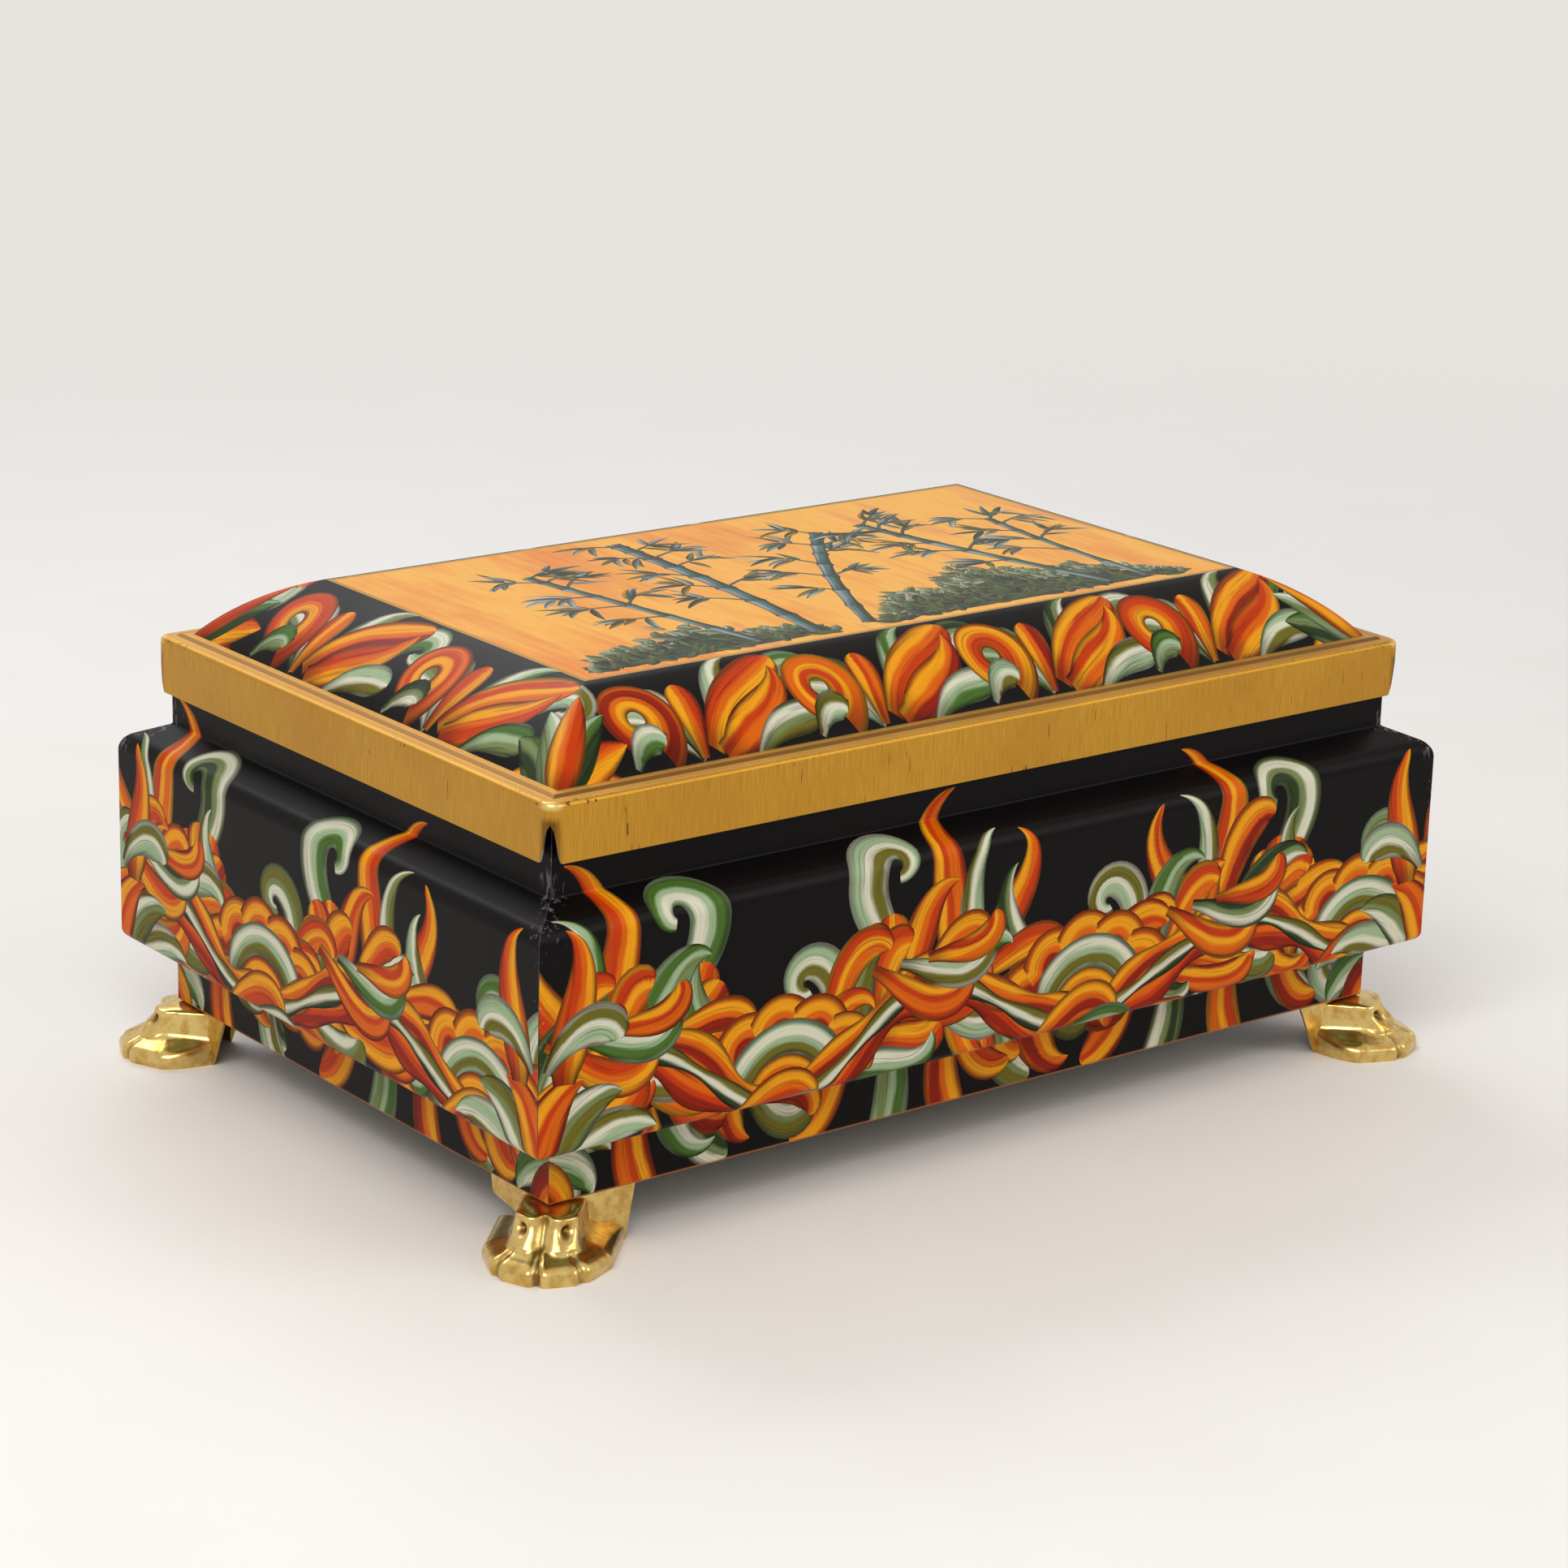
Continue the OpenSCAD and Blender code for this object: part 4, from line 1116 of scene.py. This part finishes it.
def frill(painter, start, heading, count, size, bend, width, ink):  # an arched ribbon with a lobed edge
    base = curl(start, heading, count * size * 2.0, bend, 0.0, 0.55)
    along = np.gradient(base, axis=0)
    along /= np.linalg.norm(along, axis=1, keepdims=True)
    t = shares(len(base))
    lobe = size * 0.75 * np.abs(np.sin(np.pi * count * t)) ** 0.7
    spine = base + np.stack([-along[:, 1], along[:, 0]], 1) * lobe[:, None]
    painter.stroke(spine, ribbon(len(spine), width, 0.04), ink)


def arch(painter, centre, radius, start, sweep, width, ink):
    a = np.radians(start + sweep * np.linspace(0, 1, max(8, int(abs(sweep) * radius / 70))))
    spine = np.stack([centre[0] + radius * np.cos(a), centre[1] + radius * np.sin(a)], 1)
    painter.stroke(spine, ribbon(len(spine), width, 0.16), ink)


def shell(painter, centre, heading, radius, petals, spread, pair):  # petals that fan out from one spot
    for k in range(petals):
        share = abs(2 * k / (petals - 1) - 1)
        turned = heading + spread * (k / (petals - 1) - 0.5)
        spine = curl(centre, turned, radius * (1 - 0.16 * share), (turned - heading) * -0.25, 0, 0.9)
        painter.stroke(spine, headed(len(spine), radius * 0.27, 0.12), pair[k % len(pair)])


def peels(painter, stem, side, gap, lengthAt, coolEvery):  # right to left, each leaf over the next one's root
    step = np.gradient(stem, axis=0)
    headings = np.degrees(np.arctan2(step[:, 1], step[:, 0]))
    hop = np.linalg.norm(stem[1] - stem[0])
    draw = painter.random
    for k, i in reversed(list(enumerate(range(2, len(stem) - 2, max(1, int(gap / hop)))))):
        length = lengthAt(k, stem[i]) * draw.uniform(0.88, 1.12)
        heading = headings[i] + side * draw.uniform(24, 44)
        away, back = draw.uniform(34, 62), draw.uniform(110, 190)
        ink = draw.choice(leafInks if k % coolEvery == 0 else flameInks)
        wide = 4.3 * draw.uniform(0.85, 1.15)
        form = (headed, wide, 0.4) if k % 2 else (tapered, wide * 1.08, 0.38, 0.5)
        painter.grow(stem[i], (heading, length, side * away, -side * back), form, ink)


def paintWall(length, waves, seed):
    p = Painter(seed)
    half, wave = length / 2, length / waves
    mid, swing = 27.0, 8.0

    def level(x):
        return mid + swing * np.sin(2 * np.pi * (x + half) / wave) + 1.6 * np.sin(x * 0.11 + seed)

    xs = np.arange(-half - 6, half + 7, 1.3)
    stem = np.stack([xs, level(xs)], 1)
    crests = [-half + (k + 0.25) * wave for k in range(waves)]
    for k, x in enumerate(crests):  # what stands above each crest: licks, a crook and a small shell
        y, hand = float(level(x)), -1 if k % 2 == 0 else 1
        lick(p, (x + 10 * hand, y), 90 - hand * 22, 34, 4.4, -hand * 60, flame(k + seed))
        lick(p, (x + 3 * hand, y), 90 - hand * 4, 46, 4.8, hand * 56, flame(2 * k + seed))
        lick(p, (x + 6 * hand, y - 2), 90 - hand * 12, 36, 3.4, hand * 50, leaf(k + seed))
        crook(p, (x - 5 * hand, y), 90 + hand * 34, 52, 5.0, hand, leaf(2 * k + seed))
        shell(p, (x - 13 * hand, y + 1), 90 + hand * 14, 17, 4, 74 * hand, [flame(k + 1), flame(k + 3)])
        far = x + wave * 0.5
        low = float(level(far))
        crook(p, (far + 13, low + 6), 96, 38, 4.2, -1, leaf(k + 1 + seed))
        lick(p, (far - 15, low + 8), 104, 32, 4.0, 52, leaf(k + 3 + seed))
    for k, x in enumerate(crests):  # long leaves that hang over the underside to the plinth
        for n, (shift, heading, size) in enumerate([(-15, 236, 30), (-5, 258, 33), (6, 284, 32), (16, 306, 29)]):
            side = 1 if n < 2 else -1
            bend = (heading + p.random.uniform(-5, 5), size, side * 40, side * -90)
            p.grow((x + shift, 24), bend, (headed, 4.8, 0.35), leaf(k + n) if n % 2 else flame(k + n))
    peels(p, stem + (0.0, 3.0), 1, 8.2, lambda k, spot: 25 - 0.35 * (spot[1] - mid) + 5 * math.sin(k * 1.9), 4)
    peels(p, stem - (0.0, 3.0), -1, 7.8, lambda k, spot: 24 + 0.5 * (spot[1] - mid) + 5 * math.sin(k * 2.3), 3)
    for k in range(waves):  # frilled domes in the hollows of the stem
        x = -half + (k + 0.75) * wave
        y = float(level(x)) + 1.0
        frill(p, (x - 19, y + 3), 66, 5, 4.5, -128, 4.4, ("red", "orange", "yellow"))
        arch(p, (x, y + 1), 12.5, 172, -164, 3.7, ("olive", "mint", "white"))
        arch(p, (x - 0.5, y), 6.6, 178, -170, 3.4, ("redOrange", "orange", "yellow"))
        comma(p, (x + 4, y - 3), 128, 11, 3.2, 70, leaf(k + 3))
    step = np.gradient(stem, axis=0)
    step /= np.linalg.norm(step, axis=1, keepdims=True)
    across = np.stack([-step[:, 1], step[:, 0]], 1)
    for shift, width, ink in ((-3.6, 3.1, ("red", "redOrange", "orange")), (3.5, 3.2, ("red", "orange", "yellow")),
                              (0.0, 2.1, ("darkGreen", "white", "olive"))):  # the stem's three strands
        line = stem + across * shift * (0.75 + 0.35 * np.sin(xs * 0.21))[:, None]
        p.stroke(line, width * (0.85 + 0.3 * np.sin(xs * 0.33 + shift)), ink)
    for k in range(2 * waves):  # broad leaves that cross the stem
        x = -half + (k + 0.5) * wave / 2
        y, up = float(level(x)), 1 if k % 2 else -1
        for n, (shift, turn, size) in enumerate([(-6, 30, 30), (1, 14, 27), (8, -4, 22)]):
            p.grow((x + shift - 12, y - up * 6), (up * turn, size, up * 34, -up * 150), (headed, 4.0 - 0.3 * n, 0.3),
                   flame(k + n) if n != 1 else leaf(k + seed))
    for sx in (-1, 1):  # fans of leaves at the corners
        for n, heading in enumerate([134, 112, 92, 158, 180, 204]):
            bend = (heading if sx > 0 else 180 - heading, 34 - 2.4 * n, sx * 20, sx * 60)
            p.grow((sx * (half + 1.5), 9.0), bend, (tapered, 5.0, 0.5, 0.3), (leafInks + flameInks)[(n * 4) % 11])
        lick(p, (sx * (half - 6), 33), 90 + sx * 4, 32, 4.6, sx * 42, ("yellow", "orange", "redOrange"))
        comma(p, (sx * (half - 2), 36), 90 + sx * 30, 22, 4.4, sx * 60, ("mint", "white", "olive"))
    return p


palmette = [  # turn off the hip's line, length, inks
    (-40, 17.5, ("orange", "yellow", "red")), (40, 17.5, ("yellow", "orange", "redOrange")),
    (-25, 21, ("yellow", "orange", "redOrange")), (25, 21, ("green", "sage", "darkGreen")),
    (-11, 22, ("darkGreen", "green", "mint")), (11, 22, ("white", "mint", "sage")),
    (0, 24, ("redOrange", "orange", "yellow")),
]


def paintCrown(seed):
    p, clear = Painter(seed), 17.0  # the buds keep clear of the hips
    halfX = trunk["lidLength"] / 2 - trunk["ledgeWidth"]
    halfY = trunk["lidWidth"] / 2 - trunk["ledgeWidth"]
    for side in range(4):  # leaves, buds and shells on the slopes, drawn in a frame turned to each side
        reach, depth, units = (halfX, halfY, 4) if side % 2 == 0 else (halfY, halfX, 2)
        c, s = [(1, 0), (0, 1), (-1, 0), (0, -1)][side]
        part = Painter(seed + side)
        span = 2 * (reach - clear) / units
        for k in range(units):  # a ring with an eye, blades, two long leaves and a crook
            x, y, n = -reach + clear + (k + 0.5) * span, -depth, k + side
            lick(part, (x + 3, y + 2), 62, 22, 3.8, 44, leaf(n + 1))
            crook(part, (x + 15, y + 1), 62, 30, 3.6, 1, leaf(n + 2))
            for i, (heading, ink) in enumerate([(132, leaf(n)), (108, leaf(n + 3)), (84, flame(n + 1))]):
                part.grow((x - 4, y + 0.5), (heading, 16.5 - i, 18 - 16 * i, 30), (headed, 3.3, 0.3), ink)
            part.grow((x - 1, y + 1.5), (58, 30, -78, 60), (headed, 4.6, 0.4), flame(n))
            part.grow((x + 1, y + 0.5), (28, 27, -30, 95), (tapered, 4.0, 0.45, 0.5), flame(n + 2))
            part.grow((x + 9, y - 0.5), (40, 19, -60, 20), (headed, 3.0, 0.3), leaf(n + 4))
            line = ringLine((x - 15, y + 8.6), 6.2, -70, 1.12, 0.6)
            part.stroke(line, np.linspace(4.3, 2.2, len(line)), flame(n + 3))
            comma(part, (x - 20, y + 0.5), 60, 11, 2.8, -50, leaf(n + 5))
        for spine, widths, ink, number in part.strokes:
            x, y = spine[:, 0], spine[:, 1]
            p.strokes.append((np.stack([x * c - y * s, x * s + y * c], 1), widths, ink, number))
    for sx in (-1, 1):  # palmettes over the hips
        for sy in (-1, 1):
            for turn, length, ink in palmette:
                bend = (math.degrees(math.atan2(-sy, -sx)) + turn, length, turn * 0.3, turn * 0.18)
                p.grow((sx * (halfX + 0.8), sy * (halfY + 0.8)), bend, (tapered, 3.6, 0.4, 0.3), ink)
    paintPicture(p)
    return p


bamboo = {
    "mounds": [(34.0, 30.0, 40.0, 380), (-50.0, 21.0, 30.0, 200)],  # middle, height, half length, dabs
    "culms": [(-24.0, 80.0, 84.0, 1.9), (-11.0, 68.0, 80.0, 1.5), (-38.0, 100.0, 70.0, 1.3),
              (56.0, 106.0, 72.0, 1.5), (66.0, 92.0, 60.0, 1.1)],  # foot, heading, length, half width
    "joint": 9, "tuft": 7,
    "lightInks": [("green", "sage", "mint"), ("olive", "sage", "white"), ("sage", "mint", "white")],
    "darkInks": [("darkGreen", "green", "sage"), ("darkGreen", "olive", "green"), ("black", "darkGreen", "green")],
    "tuftInks": [("darkGreen", "teal", "grey"), ("olive", "sage", "darkGreen"), ("teal", "grey", "white"),
                 ("darkGreen", "olive", "yellow"), ("black", "darkGreen", "teal")],
}


def paintPicture(p):  # bamboo on two leafy mounds under an evening sky
    fold = trunk["ledgeWidth"] + trunk["slopeWidth"] + trunk["foldWidth"] + trunk["frameLine"]
    halfX, halfY = trunk["lidLength"] / 2 - fold, trunk["lidWidth"] / 2 - fold
    draw, joint = p.random, bamboo["joint"]

    def put(spine, widths, ink):  # only what stays inside the frame line
        if np.all(np.abs(spine) + widths[:, None] < (halfX - 0.2, halfY - 0.2)):
            p.stroke(spine, widths, ink)

    for middle, height, reach, dabCount in bamboo["mounds"]:
        def top(x):
            return height * max(0.0, 1 - ((x - middle) / reach) ** 2) * (0.8 + 0.2 * math.sin(x * 0.23))

        low = 1.9
        while low < height:
            run = [x for x in np.arange(middle - reach, middle + reach, 1.5) if top(x) > low and abs(x) < halfX - 2.4]
            if len(run) > 3:
                spine = np.array([(x, -halfY + low) for x in run])
                put(spine, ribbon(len(spine), 1.7, 0.08), ("darkGreen", "darkGreen", "green"))
            low += 2.4
        dabs = []
        for _ in range(dabCount):
            x = middle + draw.uniform(-reach, reach)
            dabs.append((draw.random() ** 0.8 * top(x), x))
        for y, x in sorted(dabs, reverse=True):
            spine = curl((x, -halfY + 1.6 + y), draw.uniform(15, 165), 5.4, draw.uniform(-60, 60), 0, 1.1)
            ink = draw.choice(bamboo["lightInks" if y > 0.6 * top(x) else "darkInks"])
            put(spine, tapered(len(spine), 1.25, 0.42, 0.4), ink)
    sprays = []
    for x, heading, length, width in bamboo["culms"]:
        line = curl((x, -halfY + 3.0), heading, length, draw.uniform(-18, 18), 0, 1.0)
        line = line[np.abs(line[:, 1]) < halfY - 3.2]
        joints = list(range(0, len(line) - 3, joint))
        for a in joints:
            part = line[a:min(a + joint, len(line) - 1) + 1]
            swell = width * (1 + 0.3 * np.abs(np.linspace(-1, 1, len(part))) ** 4)
            put(part, swell, ("darkGreen", "teal", "grey"))
        for n, a in enumerate(joints[2:]):
            for side in ((-1, 1) if n % 3 == 1 else (1,) if n % 2 else (-1,)):
                sprays.append((line[a], heading - side * draw.uniform(36, 64), draw.uniform(7, 13), side))
    for base, heading, length, side in sprays:  # thin twigs, each with a hanging tuft of leaves
        twig = curl(base, heading, length, -side * 22, 0, 1.0)
        put(twig, np.full(len(twig), 0.42), ("darkGreen", "teal", "olive"))
        for _ in range(bamboo["tuft"]):
            at = twig[draw.randrange(len(twig) // 3, len(twig))]
            turned = heading - side * draw.uniform(-50, 96)
            spine = curl(at, turned, draw.uniform(6, 10.5), -side * draw.uniform(10, 46), 0, 1.0)
            put(spine, tapered(len(spine), 0.85, 0.36), draw.choice(bamboo["tuftInks"]))


tell("camera, floor and lamps")
makeCamera()
makeStage()

wallPrint = printMaterial("wallPrint")
crownPrint = printMaterial("crownPrint", picture=True)
goldLacquer = goldMaterial("goldLacquer")
footBrass = brassMaterial("footBrass")
plainTin = tinMaterial("plainTin")
hingeSteel = tinMaterial("hingeSteel", (176, 172, 162), 0.3)

tell("walls")
lidL, lidW = trunk["lidLength"], trunk["lidWidth"]
wallFinish = [wallPrint, plainTin]
makeWall("front_wall_print", "front_wall", lidL, lidW / 2, 0, paintWall(236.4, 3, 5), wallFinish)
makeWall("back_wall_print", "back_wall", lidL, lidW / 2, 180, paintWall(236.4, 3, 12), wallFinish)
makeWall("left_wall_print", "left_wall", lidW, lidL / 2, -90, paintWall(158.4, 2, 9), wallFinish)
makeWall("right_wall_print", "right_wall", lidW, lidL / 2, 90, paintWall(158.4, 2, 21), wallFinish)

tell("lid")
makeCrown(paintCrown(3), [crownPrint, plainTin])
makeBand(goldLacquer, plainTin)

tell("feet")
for node, sx, sy in (("foot_front_left", -1, -1), ("foot_front_right", 1, -1),
                     ("foot_back_left", -1, 1), ("foot_back_right", 1, 1)):
    foot = makeFoot(node + "_paw", sx, sy, footBrass)
    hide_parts(node)
    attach(foot, "box")

tell("rivets")
tree, named = rivetTree(hingeSteel)
makeRivets("lid_rivet_heads", "lid_leaf_rivets", "lid_assembly", rivet["lidY"], rivet["lidZ"], tree, named)
makeRivets("body_rivet_heads", "body_leaf_rivets", "box", rivet["bodyY"], rivet["bodyZ"], tree, named)

tell("carried-over nodes")
keptFinish = {"base_plate": plainTin, "lid_hinge_leaf_left": hingeSteel, "lid_hinge_leaf_right": hingeSteel,
              "body_hinge_leaf_left": hingeSteel, "body_hinge_leaf_right": hingeSteel,
              "hinge_pin_left": hingeSteel, "hinge_pin_right": hingeSteel}
for name, finish in keptFinish.items():
    node = bpy.data.objects.get(name) or next(o for o in bpy.data.objects if o.name.startswith(name))
    node.data.materials.clear()
    node.data.materials.append(finish)

bpy.context.scene.view_settings.view_transform = "Standard"
for ob in bpy.data.objects:
    if ob.type == "MESH":
        tell("%s: %d faces" % (ob.name, len(ob.data.polygons)))
boxes = {"cad": cadBox, "visual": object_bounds()}
{name: [list(map(float, p)) for p in box] for name, box in boxes.items()}
